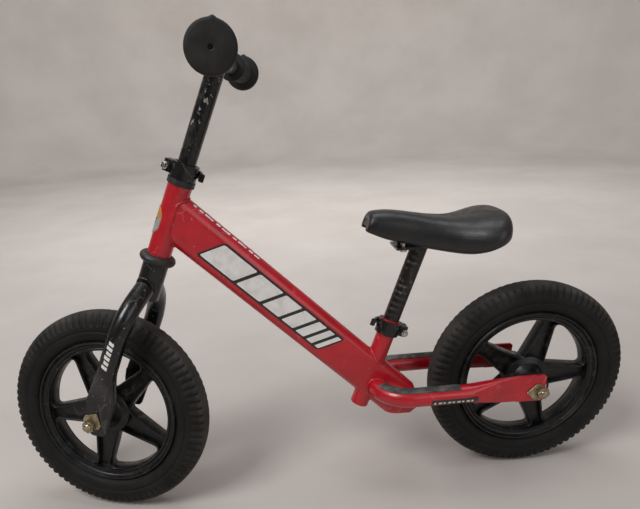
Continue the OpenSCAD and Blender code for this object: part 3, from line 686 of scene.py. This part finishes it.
fork_frame = steering_frame(fork_turn)
blade_radius = 0.0127
blade_middle = 0.052
blade_bend = 0.070
blade_lean = radians(50)
blade_bend_bottom = 0.1244
crown_radius = 0.0163
press_top = 0.084
press_bottom = 0.036
blade_weld_height = 0.178
blade_slot = [
    (slot_radius * cos(turn), slot_radius * sin(turn))
    for turn in (radians(-30) + pi / 8 * i for i in range(9))
]
blade_plate = (
    [(-0.0153, 0.0385), (-0.0130, 0.0245), (-0.0085, 0.0105), (-0.0072, 0.0010), (-0.0068, -0.0052)]
    + blade_slot[::-1]
    + [(0.0020, -0.0100), (0.0042, -0.0118), (0.0085, -0.0118), (0.0200, -0.0078), (0.0216, -0.0050),
       (0.0228, 0.0385)]
)


def blade_centre(height):
    """The middle of a blade in the fork's frame, as its reach from the steering axis and its lean."""
    if height < blade_bend_bottom:
        return blade_middle, 0.0
    turn = (height - blade_bend_bottom) / blade_bend
    if turn < sin(blade_lean):
        lean = asin(turn)
        return blade_middle - blade_bend * (1 - cos(lean)), lean
    top = blade_middle - blade_bend * (1 - cos(blade_lean))
    above = height - blade_bend_bottom - blade_bend * sin(blade_lean)
    return top - above * sin(blade_lean) / cos(blade_lean), blade_lean


blade_heights = [press_bottom + (press_top - press_bottom) * i / 14 for i in range(15)]
blade_heights += [0.094, 0.106, 0.1170]
blade_heights += [blade_bend_bottom + blade_bend * sin(blade_lean * i / 14) for i in range(15)]
blade_heights += [0.1815, 0.186, 0.190]
for name, side in (("left_fork_blade", -1), ("right_fork_blade", 1)):
    rings = []
    for height in blade_heights:
        reach, lean = blade_centre(height)
        share = 1 - smooth(min(1, (height - press_bottom) / (press_top - press_bottom)))
        rings.append(pressed_ring(
            (0.0038 * share, side * reach, height), (1, 0, 0), (0, side * cos(lean), sin(lean)),
            blade_radius + (0.0190 - blade_radius) * share,
            blade_radius + (pressed_half_thickness - blade_radius) * share,
            2 + 4 * share))
    plate = slab(
        [(-x, z) for x, z in blade_plate], -plate_half_thickness, plate_half_thickness, plate_chamfer)
    stood = [(-x, side * blade_middle + z, y) for x, y, z in plate[0]]
    piece = join(name + "_tube", *merged(loft(rings), (stood, plate[1])))
    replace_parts(fit(piece, black, "fork", fork_frame), name)


def off_crown(point):
    return crown_radius - hypot(point.x, point.y)


blade_top_reach, _ = blade_centre(blade_weld_height)
for name, side in (("left_blade_weld", -1), ("right_blade_weld", 1)):
    blade_way = Vector((0, -side * sin(blade_lean), cos(blade_lean)))
    blade_out = Vector((0, side * cos(blade_lean), sin(blade_lean)))

    def blade_rim(turn, side=side, blade_out=blade_out):
        middle = Vector((blade_radius * cos(turn), side * blade_top_reach, blade_weld_height))
        return middle + blade_out * (blade_radius * sin(turn))

    line = meeting_line(blade_rim, blade_way, off_crown, -0.005, 0.04)
    bead(name, line, black, "fork", 0.0015, fork_frame)


def on_left_blade(along, around, lift):
    """Along is the height on the blade, around an angle on its outer side, forward negative."""
    middle, _ = blade_centre(along)
    reach = blade_radius + lift
    return Vector((reach * sin(around), -middle - reach * cos(around), along))


marks = [film_sheet(on_left_blade, a, a + 0.0046, -0.34 + 0.1 * (i % 2), 0.30, -0.004, film_lift, 0.0, 4, 6)
         for i, a in enumerate(0.0900 + 0.0068 * i for i in range(6))]
fit(join("fork_dashes", *merged(*marks)), white_film, "fork", fork_frame)

# ---- Quick-release collars -----------------------------------------------------------
# Black collars with two ears, pulled together by a plated bolt with a round nut at one
# end and a forked cam lever at the other. The levers are cast, with a turned-out tip.
wear(black, "seat_collar", "bar_collar")
steel = Finish("bright_plated_steel", Metallic=1.0)
steel_cloud = steel.rise(steel.noise(160, 4.0), 0.4, 0.7)
steel_scratch = steel.scratches(240, 0.06, 0.5)
steel.set(
    Base_Color=steel.mix((0.58, 0.57, 0.55, 1), (0.26, 0.22, 0.17, 1), steel_cloud * 0.6),
    Roughness=0.22 + steel_cloud * 0.25 + steel_scratch * 0.15)
steel.bump(steel.noise(1200, 2.0) - steel_scratch, 0.00005)
wear(steel, "seat_collar_bolt", "bar_collar_bolt", "seat_lever_pin", "bar_lever_pin")

collar_height = 0.019
pivot_back = 0.0205
pivot_side = 0.0135
bar_collar_bottom = 0.3358
seat_tube_top = 0.134
rim_above_collar = 0.0015
seat_collar_bottom = seat_tube_top - collar_height - rim_above_collar
bar_collar_frame = fork_frame @ Matrix.Translation((0, 0, bar_collar_bottom))
seat_collar_frame = (
    seat_frame @ Matrix.Translation((0, 0, seat_collar_bottom)) @ Matrix.Diagonal((-1, 1, 1, 1)))
lever_inner = 0.0189
lever_thickness = 0.0033
lever_height = 0.0104
arc_turns = [radians(10 + 118 * i / 26) for i in range(27)]
lever_outline = (
    [(lever_inner * cos(turn), lever_inner * sin(turn)) for turn in arc_turns]
    + [(-pivot_back + 0.0050, pivot_side - 0.0045), (-pivot_back - 0.0020, pivot_side - 0.0056),
       (-pivot_back - 0.0052, pivot_side - 0.0022), (-pivot_back - 0.0050, pivot_side + 0.0028),
       (-pivot_back - 0.0008, pivot_side + 0.0058), (-pivot_back + 0.0040, pivot_side + 0.0066)]
    + [((lever_inner + lever_thickness) * cos(turn), (lever_inner + lever_thickness) * sin(turn))
       for turn in arc_turns[::-1][1:]]
    + [(lever_inner + 0.0068, 0.0020), (lever_inner + 0.0072, 0.0002), (lever_inner + 0.0006, -0.0006)]
)
for name, body, frame_here in (
    ("bar_lever", "bar_lever", bar_collar_frame), ("seat_lever", "seat_lever", seat_collar_frame),
):
    points, faces = slab(lever_outline[::-1], (collar_height - lever_height) / 2,
                         (collar_height + lever_height) / 2, 0.0011)
    piece = join(name + "_casting", [frame_here @ Vector(point) for point in points], faces)
    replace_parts(fit(piece, black, body), name)

nut_profile = [(0.0001, -0.0004), (0.0032, -0.0004), (0.0040, 0.0002), (0.0046, 0.0010), (0.0048, 0.0016),
               (0.0048, 0.0068), (0.0044, 0.0078), (0.0034, 0.0080), (0.0031, 0.0072), (0.0026, 0.0072),
               (0.0026, 0.0086), (0.0022, 0.0092), (0.0001, 0.0092)]
for name, body, frame_here in (
    ("bar_collar_nut", "fork", bar_collar_frame), ("seat_collar_nut", "frame", seat_collar_frame),
):
    points, faces = turned(nut_profile, 72)
    knurled = []
    for i, (x, y, z) in enumerate(points):
        reach = hypot(x, y)
        deep = 0.00028 if reach > 0.0045 and (i // len(nut_profile)) % 3 == 0 else 0
        knurled.append((x * (1 - deep / reach), y * (1 - deep / reach), z))
    placed = frame_here @ Matrix.Translation((-pivot_back, -0.0075, collar_height / 2)) @ Matrix.Rotation(
        pi / 2, 4, "X")
    piece = join(name + "_knurled", [placed @ Vector(point) for point in knurled], faces)
    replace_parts(fit(piece, steel, body), name)

# ---- Axle sets -----------------------------------------------------------------------
# A threaded axle in each wheel, with a hex nut and a tabbed washer on both ends, plated in
# dull yellow zinc. Bearing races and spacers are plain steel with a film of grime.
zinc = Finish("yellow_zinc", Metallic=1.0)
zinc_cloud = zinc.rise(zinc.noise(240, 4.0), 0.35, 0.7)
zinc_grime = zinc.rise(zinc.noise(120, 4.0), 0.52, 0.68)
zinc.set(
    Base_Color=zinc.mix(
        zinc.mix((0.30, 0.245, 0.15, 1), (0.50, 0.45, 0.34, 1), zinc_cloud), (0.14, 0.10, 0.06, 1),
        zinc_grime * 0.7),
    Roughness=0.30 + zinc_grime * 0.3)
zinc.bump(zinc.noise(1500, 2.0), 0.00006)
for name in ("front", "rear"):
    wear(steel, name + "_bearing_inner_races", name + "_axle_spacers", name + "_bearing_outer_races")

nut_flats = 0.015
nut_low = 0.056
nut_high = 0.062
washer_low = 0.054
axle_radius = 0.005
axle_half_length = 0.0645
thread_pitch = 0.00125


def hex_reach(turn):
    return nut_flats / 2 / cos((turn + pi / 6) % (pi / 3) - pi / 6)


def washer_reach(turn):
    """Distance from the hole to the edge of the six-sided washer, whose hole is off centre."""
    corners = [
        (0.0215, 0), (0.009, 0.0125), (0.003, 0.0125), (-0.0095, 0), (0.003, -0.0125), (0.009, -0.0125)]
    best = 1.0
    for i in range(6):
        x0, y0 = corners[i]
        x1, y1 = corners[(i + 1) % 6]
        normal = (y1 - y0, x0 - x1)
        ahead = normal[0] * cos(turn) + normal[1] * sin(turn)
        if ahead > 1e-9:
            best = min(best, (normal[0] * x0 + normal[1] * y0) / ahead)
    return best


def ringed_plate(reach, inner, low, high, chamfer, steps=96):
    """A plate with a round hole, whose outline is given by its reach at each turn."""
    turns = [tau * i / steps for i in range(steps)]

    def hole(height):
        return [(inner * cos(turn), inner * sin(turn), height) for turn in turns]

    def edge(inset, height):
        reaches = [reach(turn) - inset for turn in turns]
        return [(far * cos(turn), far * sin(turn), height) for far, turn in zip(reaches, turns)]

    return loft([
        hole(low), edge(chamfer, low), edge(0, low + chamfer),
        edge(0, high - chamfer), edge(chamfer, high), hole(high),
    ], closed=True)


axle_profile = [(0.0001, -axle_half_length), (axle_radius - 0.0010, -axle_half_length)]
thread = -axle_half_length + 0.0008
while thread < -nut_low:
    axle_profile += [(axle_radius, thread), (axle_radius - 0.0005, thread + thread_pitch / 2)]
    thread += thread_pitch
axle_profile += [(axle_radius, -nut_low)]
axle_profile += [(radius, -height) for radius, height in axle_profile[::-1]]
outward = Matrix.Rotation(-pi / 2, 4, "X")
for name, body, hub_frame, washer_turn in (
    ("front", "fork", fork_frame, radians(-80)), ("rear", "frame", Matrix.Translation(rear_axle), pi),
):
    stud = turned(axle_profile, 48)
    piece = join(name + "_axle_stud", [outward @ Vector(point) for point in stud[0]], stud[1])
    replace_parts(fit(piece, zinc, body, hub_frame), name + "_axle")
    nuts, washers = [], []
    for side in (1, -1):
        flip = Matrix.Diagonal((1, side, 1, 1)) @ outward
        points, faces = ringed_plate(hex_reach, axle_radius, nut_low, nut_high, 0.0008)
        turned_nut = flip @ Matrix.Rotation(0.35 * side, 4, "Z")
        nuts.append(([turned_nut @ Vector(point) for point in points], faces))
        points, faces = ringed_plate(washer_reach, axle_radius, washer_low, nut_low, 0.0003)
        turned_washer = flip @ Matrix.Rotation(washer_turn, 4, "Z")
        washers.append(([turned_washer @ Vector(point) for point in points], faces))
    for pieces, kind, node in (
        (nuts, "_plated_nuts", name + "_axle_nuts"), (washers, "_plated_washers", name + "_tab_washers"),
    ):
        piece = join(name + kind, *merged(*pieces))
        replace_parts(fit(piece, zinc, body, hub_frame), node)

# ---- Handlebar -----------------------------------------------------------------------
# A straight steel stem with a crossbar welded over its top, painted black. The stem is
# scratched by its collar. The rubber grips end in wide round bumpers with a vent hole.
worn_black = Finish("scratched_black_paint", Specular_IOR_Level=0.35)
rub = worn_black.scratches(150, 0.07, 0.5, (1, 1, 0.3))
rub_cloud = worn_black.rise(worn_black.noise(38, 5.0), 0.42, 0.62)
bare_spot = worn_black.rise(worn_black.noise(150, 3.0, (1, 1, 0.55)), 0.635, 0.655)
worn_black.set(
    Base_Color=worn_black.mix(
        worn_black.mix((0.003, 0.003, 0.0035, 1), (0.040, 0.034, 0.028, 1), rub_cloud * 0.3 + rub * 0.6),
        (0.33, 0.30, 0.27, 1), bare_spot * 0.75),
    Roughness=0.26 + rub_cloud * 0.16 + rub * 0.2,
    Coat_Weight=0.25 - rub * 0.2)
worn_black.bump(worn_black.noise(380, 2.0) - rub * 0.7 - bare_spot * 2, 0.00010)
wear(worn_black, "handlebar_stem", "crossbar")

bar_frame = steering_frame(bar_turn)
bar_height = 0.4778
stem_radius = 0.0111
bar_radius = 0.0095
bar_sweep = radians(6)
bar_bend_radius = 0.060
bar_straight = 0.038
bar_half_width = 0.1785
bar_bend = Vector((bar_bend_radius * (1 - cos(bar_sweep)), bar_straight + bar_bend_radius * sin(bar_sweep)))
grip_length = 0.088
arm_length = (bar_half_width - bar_bend.y) / cos(bar_sweep)


def off_crossbar(point):
    return bar_radius - hypot(point.x, point.z - bar_height)


def stem_rim(turn):
    return Vector((stem_radius * cos(turn), stem_radius * sin(turn), bar_height - 0.03))


bead("stem_weld", meeting_line(stem_rim, Vector((0, 0, 1)), off_crossbar, 0, 0.03), black, "handlebar",
     0.0013, bar_frame)

rubber = Finish("grip_rubber", Specular_IOR_Level=0.35)
rubber_dust = rubber.rise(rubber.noise(55, 5.0), 0.38, 0.68)
rubber_grain = rubber.noise(1100, 2.0)
rubber.set(
    Base_Color=rubber.mix((0.008, 0.0075, 0.0075, 1), (0.032, 0.028, 0.025, 1), rubber_dust * 0.7),
    Roughness=0.62 + rubber_dust * 0.2)
rubber.bump(rubber_grain, 0.00010)
hole_radius = 0.002
grip_profile = [
    (bar_radius, 0), (0.0160, 0), (0.0174, 0.0008), (0.0177, 0.0022), (0.0170, 0.0036), (0.0150, 0.0042)]
for i in range(13):
    start = 0.0085 + i * 0.0050
    grip_profile += [
        (0.0145, start), (0.0137, start + 0.0006), (0.0137, start + 0.0012), (0.0145, start + 0.0018)]
grip_profile += [
    (0.0146, 0.0748), (0.0160, 0.0760), (0.0205, 0.0768),
    (0.0222, 0.0780), (0.0230, 0.0800), (0.0230, 0.0845),
    (0.0226, 0.0862), (0.0215, 0.0874), (0.0195, 0.0879),
    (0.0120, 0.0880), (0.0034, 0.0880), (0.0024, 0.0877),
    (hole_radius, 0.0870), (hole_radius, 0.0840), (0.0001, 0.0840)]
for name, side in (("left_grip", -1), ("right_grip", 1)):
    arm_way = Vector((sin(bar_sweep), side * cos(bar_sweep), 0))
    arm_start = Vector((bar_bend.x, side * bar_bend.y, bar_height)) + arm_way * (arm_length - grip_length)
    up = Vector((0, 0, 1))
    ahead = arm_way.cross(up) * -side
    points, faces = turned(grip_profile, 120)
    knobbed = []
    for x, y, z in points:
        reach = hypot(x, y)
        swell = 1.0
        if reach > 0.0190:
            away = (x / reach - 0.97) ** 2 + (y / reach - 0.25) ** 2
            swell += 0.075 * 2.718 ** (-away / 0.012)
        knobbed.append(arm_start + up * (x * swell) + ahead * (y * swell) + arm_way * z)
    piece = join(name + "_rubber", knobbed, faces, 50)
    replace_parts(fit(piece, rubber, "handlebar", bar_frame), name)

# ---- Moulded wheels ------------------------------------------------------------------
# One-piece wheels of glass-filled nylon: a hub, five flared spokes with raised edges, and
# a deep rim. Satin black, with fine scratches and scattered patches of dust.
spoke_count = 5
rim_edge = 0.0875
window_hub_corner = 0.0300
window_rim_half = 0.0088
lip_width = 0.0030
lip_half_depth = 0.0095
web_half = 0.0024
wheel_nylon = Finish("wheel_nylon", Specular_IOR_Level=0.4)
wheel_cloud = wheel_nylon.rise(wheel_nylon.noise(28, 4.0), 0.35, 0.7)
wheel_scratch = wheel_nylon.scratches(50, 0.045, 0.5)
wheel_dust = wheel_nylon.rise(wheel_nylon.noise(95, 5.0), 0.46, 0.70)
wheel_nylon.set(
    Base_Color=wheel_nylon.mix(
        wheel_nylon.mix((0.003, 0.003, 0.0035, 1), (0.007, 0.0068, 0.0066, 1), wheel_cloud),
        (0.060, 0.054, 0.048, 1), wheel_dust * 0.16 + wheel_scratch * 0.4),
    Roughness=0.32 + wheel_cloud * 0.12 + wheel_dust * 0.2)
wheel_nylon.bump(wheel_nylon.noise(800, 2.0) - wheel_scratch, 0.00008)


def curve(start, corner, end, steps):
    """A quadratic curve that rounds off a corner, without its last point."""
    return [
        start * (1 - t) ** 2 + corner * (2 * t * (1 - t)) + end * t * t
        for t in (i / steps for i in range(steps))
    ]


def window_loop():
    """One window between two spokes, as points round it, centred on the x axis."""
    half_turn = pi / spoke_count
    rim_turn = half_turn - window_rim_half / rim_edge
    hub = Vector((window_hub_corner, 0))
    low = Vector((rim_edge * cos(rim_turn), -rim_edge * sin(rim_turn)))
    high = Vector((low.x, -low.y))
    hub_round, rim_round = 0.0050, 0.0095
    side = (low - hub).normalized()
    mirrored = Vector((side.x, -side.y))
    arc_turn = rim_turn - rim_round / rim_edge
    arc = [
        Vector((rim_edge * cos(arc_turn * t), rim_edge * sin(arc_turn * t)))
        for t in (i / 12 - 1 for i in range(25))
    ]
    loop = curve(hub + mirrored * hub_round, hub, hub + side * hub_round, 8)
    loop += [(hub + side * hub_round).lerp(low - side * rim_round, i / 8) for i in range(8)]
    loop += curve(low - side * rim_round, low, arc[0], 8)
    loop += arc[:-1]
    loop += curve(arc[-1], high, high - mirrored * rim_round, 8)
    loop += [(high - mirrored * rim_round).lerp(hub + mirrored * hub_round, i / 8) for i in range(8)]
    return loop


def widened(loop, distance):
    """The loop moved outward by a distance."""
    count = len(loop)
    moved = []
    for i in range(count):
        way = (loop[(i + 1) % count] - loop[i - 1]).normalized()
        moved.append(loop[i] + Vector((way.y, -way.x)) * distance)
    return moved


def spoked_wheel(first_turn):
    """The whole moulding in the plane of local x and y, with the axle along local z."""
    parts = []
    loop = window_loop()
    holes = []
    for i in range(spoke_count):
        turn = Matrix.Rotation(first_turn + tau * (i + 0.5) / spoke_count, 2)
        levels = (
            (lip_width, web_half), (lip_width, lip_half_depth - 0.0008), (lip_width - 0.0008, lip_half_depth),
            (0.0008, lip_half_depth), (0, lip_half_depth - 0.0008),
        )
        rings = [[(*(turn @ point), z) for point in widened(loop, grow)] for grow, z in levels]
        rings += [[(*(turn @ point), -z) for point in widened(loop, grow)] for grow, z in levels[::-1]]
        parts.append(loft(rings, closed=True))
        holes.append([turn @ point for point in widened(loop, lip_width / 2)])
    rim_ring = [Vector((cos(tau * i / 120), sin(tau * i / 120))) * (rim_edge + 0.004) for i in range(120)]
    loops = [rim_ring] + holes
    flat = [point for ring in loops for point in ring]
    filled = tessellate_polygon([[Vector((*point, 0)) for point in ring] for ring in loops])
    points = [(*point, web_half) for point in flat] + [(*point, -web_half) for point in flat]
    faces = [tuple(face) for face in filled] + [tuple(len(flat) + i for i in face) for face in filled]
    start = 0
    for ring in loops:
        count = len(ring)
        faces += [
            (start + i, start + (i + 1) % count, len(flat) + start + (i + 1) % count, len(flat) + start + i)
            for i in range(count)
        ]
        start += count
    parts.append((points, faces))
    half_rim = [
        (0.0890, 0.0118), (0.0894, 0.0128), (0.0906, 0.0131),
        (0.0918, 0.0124), (0.0930, 0.0112), (0.0955, 0.0112),
        (0.0972, 0.0126), (0.0980, 0.0160), (0.0988, 0.0172),
        (0.1004, 0.0174), (0.1014, 0.0164), (0.1022, 0.0146),
        (0.1034, 0.0138),
    ]
    rim = half_rim + [(radius, -height) for radius, height in half_rim[::-1]]
    parts.append(turned(rim + rim[:1], 180))
    half_hub = [
        (0.0131, 0.0330), (0.0131, 0.0414), (0.0138, 0.0420),
        (0.0162, 0.0420), (0.0168, 0.0413), (0.0170, 0.0240),
        (0.0180, 0.0215), (0.0215, 0.0135), (0.0232, 0.0116), (0.0300, 0.0108), (0.0312, 0.0098),
    ]
    hub = half_hub + [(radius, -height) for radius, height in half_hub[::-1]]
    parts.append(turned(hub + hub[:1], 96))
    return merged(*parts)


upright_hub = fork_frame @ Matrix.Rotation(head_angle - pi / 2, 4, "Y")
for name, hub_frame, first_turn in (
    ("front_wheel", upright_hub, radians(-7) - (pi / 2 - head_angle)),
    ("rear_wheel", Matrix.Translation(rear_axle), 0),
):
    points, faces = spoked_wheel(-first_turn)
    piece = join(name + "_moulding", points, faces, 45)
    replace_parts(fit(piece, wheel_nylon, name, hub_frame @ outward), name)

# ---- Foam tyres ----------------------------------------------------------------------
# Solid closed-cell foam tyres stretched over the rims. Small blocks are moulded along both
# shoulders; the tread between them is worn smooth and brown with dust, the sides are dark.
# The notches and other hollows of the foam are darkened with painted shade.
lug_count = 84
lug_steps = (0.0, 1.0, 1.0, 0.35, 0.0, 0.0)
lug_depth = 0.0019
half_tyre = [
    (0.1030, 0.0143, 0), (0.1036, 0.0150, 0), (0.1050, 0.0172, 0), (0.1075, 0.0190, 0), (0.1110, 0.0203, 0),
    (0.1150, 0.0209, 0), (0.1161, 0.0208, 0), (0.1166, 0.0200, 0), (0.1172, 0.0200, 0), (0.1178, 0.0207, 0),
    (0.1215, 0.0209, 0), (0.1243, 0.0208, 0), (0.1258, 0.0206, 0.5), (0.1275, 0.0203, 1), (0.1300, 0.0197, 1),
    (0.1330, 0.0186, 1), (0.1355, 0.0172, 1), (0.1376, 0.0152, 1), (0.1392, 0.0128, 1), (0.1401, 0.0112, 0.7),
    (0.1408, 0.0096, 0.2), (0.1414, 0.0074, 0), (0.1418, 0.0050, 0), (0.1420, 0.0025, 0), (0.1420, 0, 0),
]
tyre_profile = half_tyre + [(radius, -height, weight) for radius, height, weight in half_tyre[-2::-1]]
foam = Finish("dusty_foam", Specular_IOR_Level=0.25)
foam_spot = foam.place()
foam_radius = (foam.axis(foam_spot, "X") ** 2 + foam.axis(foam_spot, "Y") ** 2) ** 0.5
foam_tread = foam.rise(foam_radius, 0.1335, 0.1395)
foam_shoulder = foam.rise(foam_radius, 0.1225, 0.1290)
foam_cloud = foam.rise(foam.noise(22, 5.0), 0.32, 0.70)
foam_grain = foam.noise(620, 3.0)
# Painted shade: hollows and creases, such as the notches between the blocks, go near black.
foam_painted_crease_shade = foam.rise(foam.node("ShaderNodeNewGeometry", output="Pointiness"), 0.44, 0.51)
foam_side = foam.mix((0.004, 0.0038, 0.0038, 1), (0.012, 0.0112, 0.0108, 1), foam_cloud)
foam_dusty = foam.mix((0.030, 0.027, 0.025, 1), (0.060, 0.054, 0.049, 1), foam_cloud)
foam_colour = foam.mix(foam_side, foam_dusty, foam_tread * 0.8 + foam_shoulder * foam_cloud * 0.22)
foam.set(
    # The near-black colour is painted shade in the hollows; elsewhere the foam's own colour shows.
    Base_Color=foam.mix((0.008, 0.0075, 0.007, 1), foam_colour, foam_painted_crease_shade),
    Roughness=0.58 + foam_tread * 0.25 + foam_cloud * 0.08)
foam.bump(foam_grain, 0.00055)
for name, hub_frame, body in (
    ("front_tyre", upright_hub, "front_wheel"), ("rear_tyre", Matrix.Translation(rear_axle), "rear_wheel"),
):
    points = []
    steps = lug_count * len(lug_steps)
    for step in range(steps):
        turn = tau * step / steps
        for radius, height, weight in tyre_profile:
            offset = 0 if height > 0 else len(lug_steps) // 2
            cut = lug_depth * weight * lug_steps[(step + offset) % len(lug_steps)]
            reach = radius - cut * 0.75
            inset = cut * 0.6 if height > 0 else -cut * 0.6
            points.append((reach * cos(turn), reach * sin(turn), height - inset))
    count = len(tyre_profile)
    faces = []
    for step in range(steps):
        here = step * count
        after = (step + 1) % steps * count
        faces += [
            (here + i, after + i, after + (i + 1) % count, here + (i + 1) % count) for i in range(count)
        ]
    piece = join(name + "_foam", points, faces, 60)
    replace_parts(fit(piece, foam, body, hub_frame @ outward), name)

# ---- Seat ----------------------------------------------------------------------------
# A moulded foam pad under black vinyl on a plastic base, screwed to a plate on the post.
# The post is scratched and stained in rings where the clamp has gripped it.
post_paint = Finish("scratched_post", Specular_IOR_Level=0.5)
post_point = post_paint.place()
post_along = (
    post_paint.axis(post_point, "X") * cos(seat_angle) + post_paint.axis(post_point, "Z") * sin(seat_angle))
post_wave = post_paint.noise(60, 4.0, (1, 1, 1))
post_ring = post_paint.rise(
    post_paint.sine((post_along + post_wave * 0.006) * (tau / 0.0085)), 0.1, 0.8) * post_paint.rise(
    post_paint.noise(45, 3.0), 0.42, 0.60)
post_mark = post_paint.rise(post_paint.noise(150, 4.0, (1, 1, 0.45)), 0.54, 0.64)
post_paint.set(
    Base_Color=post_paint.mix(
        post_paint.mix(
            (0.004, 0.004, 0.004, 1), (0.085, 0.066, 0.045, 1), post_ring * 0.35 + post_mark * 0.35),
        (0.20, 0.17, 0.13, 1),
        post_mark * post_ring * 0.7),
    Roughness=0.30 + post_ring * 0.3)
post_paint.bump(post_wave - post_ring * 0.5, 0.00015)
wear(post_paint, "seatpost")
wear(black, "seat_bracket")
wear(steel, "saddle_screws")

vinyl = Finish("black_vinyl", Specular_IOR_Level=0.5, Coat_Roughness=0.25)
vinyl_cell = vinyl.node(
    "ShaderNodeTexVoronoi", {"feature": "F1"}, {"Vector": vinyl.place(), "Scale": 1100.0})
vinyl_cloud = vinyl.rise(vinyl.noise(24, 4.0), 0.35, 0.7)
vinyl_scuff = vinyl.scratches(60, 0.05, 0.35)
vinyl_dust = vinyl.upward(0.2, 1.0) * vinyl.rise(vinyl.noise(80, 5.0), 0.42, 0.72)
vinyl.set(
    Base_Color=vinyl.mix(
        vinyl.mix((0.003, 0.003, 0.0035, 1), (0.007, 0.007, 0.0075, 1), vinyl_cloud),
        (0.050, 0.047, 0.044, 1), vinyl_scuff * 0.35 + vinyl_dust * 0.2),
    Roughness=0.34 + vinyl_cloud * 0.10 + vinyl_dust * 0.25,
    Coat_Weight=0.25 - vinyl_dust * 0.2)
vinyl.bump(vinyl_cell * 0.6 + vinyl.noise(300, 3.0) * 0.5, 0.00030)

# Each station: distance from the rear axle, top, bottom, half width, and edge fullness.
saddle_stations = [
    (-0.2385, 0.3850, 0.3735, 0.0130, 0.8), (-0.2370, 0.3900, 0.3710, 0.0180, 0.75),
    (-0.2310, 0.3945, 0.3675, 0.0205, 0.72), (-0.2210, 0.3958, 0.3630, 0.0222, 0.7),
    (-0.2050, 0.3955, 0.3570, 0.0238, 0.68), (-0.1850, 0.3925, 0.3515, 0.0258, 0.66),
    (-0.1650, 0.3885, 0.3460, 0.0290, 0.64), (-0.1450, 0.3850, 0.3420, 0.0345, 0.62),
    (-0.1250, 0.3830, 0.3390, 0.0430, 0.60), (-0.1080, 0.3835, 0.3385, 0.0525, 0.58),
    (-0.0920, 0.3860, 0.3415, 0.0600, 0.58), (-0.0780, 0.3885, 0.3465, 0.0615, 0.60),
    (-0.0670, 0.3895, 0.3510, 0.0560, 0.62), (-0.0600, 0.3885, 0.3550, 0.0460, 0.66),
    (-0.0562, 0.3850, 0.3590, 0.0340, 0.75), (-0.0550, 0.3790, 0.3640, 0.0180, 0.85),
]


def spline(values, place):
    """A smooth curve through equally spaced values, read at a place between 0 and 1."""
    spot = place * (len(values) - 1)
    i = min(int(spot), len(values) - 2)
    t = spot - i
    p0, p1, p2, p3 = values[max(i - 1, 0)], values[i], values[i + 1], values[min(i + 2, len(values) - 1)]
    return 0.5 * (2 * p1 + (p2 - p0) * t + (2 * p0 - 5 * p1 + 4 * p2 - p3) * t ** 2 + (
        3 * p1 - p0 - 3 * p2 + p3) * t ** 3)


def saddle_ring(place, inset, drop_top, count=72):
    """A cross-section of the saddle: a crowned top, full sides and a flat underside."""
    along, top, bottom, half_width, fullness = (
        spline([station[k] for station in saddle_stations], place) for k in range(5))
    half_width = max(half_width - inset, 0.003)
    top -= drop_top
    middle = bottom + (top - bottom) * 0.36
    ring = []
    for i in range(count):
        turn = tau * i / count
        across = abs(cos(turn)) ** fullness * (1 if cos(turn) > 0 else -1)
        rise = abs(sin(turn)) ** (0.95 if sin(turn) > 0 else 0.7)
        height = middle + (top - middle) * rise
        if sin(turn) < 0:
            hollow = 0.0100 * max(0.0, 1 - (across / 0.85) ** 4)
            height = min(middle, max(middle - (middle - bottom) * rise, bottom + hollow))
        rake = 0.0075 * (height - bottom) / (top - bottom) * max(0.0, 1 - place * 5)
        ring.append(Vector((rear_axle.x + along + rake, half_width * across, height)))
    return ring


pad = join("saddle_cover", *loft([saddle_ring(i / 90, 0, 0) for i in range(91)]), smooth_angle=80)
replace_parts(fit(pad, vinyl, "seat"), "saddle_pad")
pan_rings = []
for i in range(41):
    ring = saddle_ring(0.10 + 0.82 * i / 40, 0.007, 0.012)
    low = min(point.z for point in ring)
    pan_rings.append([
        Vector((point.x, point.y, max(low + 0.009, min(point.z, low + 0.013)))) for point in ring
    ])
pan = join("saddle_pan", *loft(pan_rings), smooth_angle=50)
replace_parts(fit(pan, nylon, "seat"), "saddle_base")
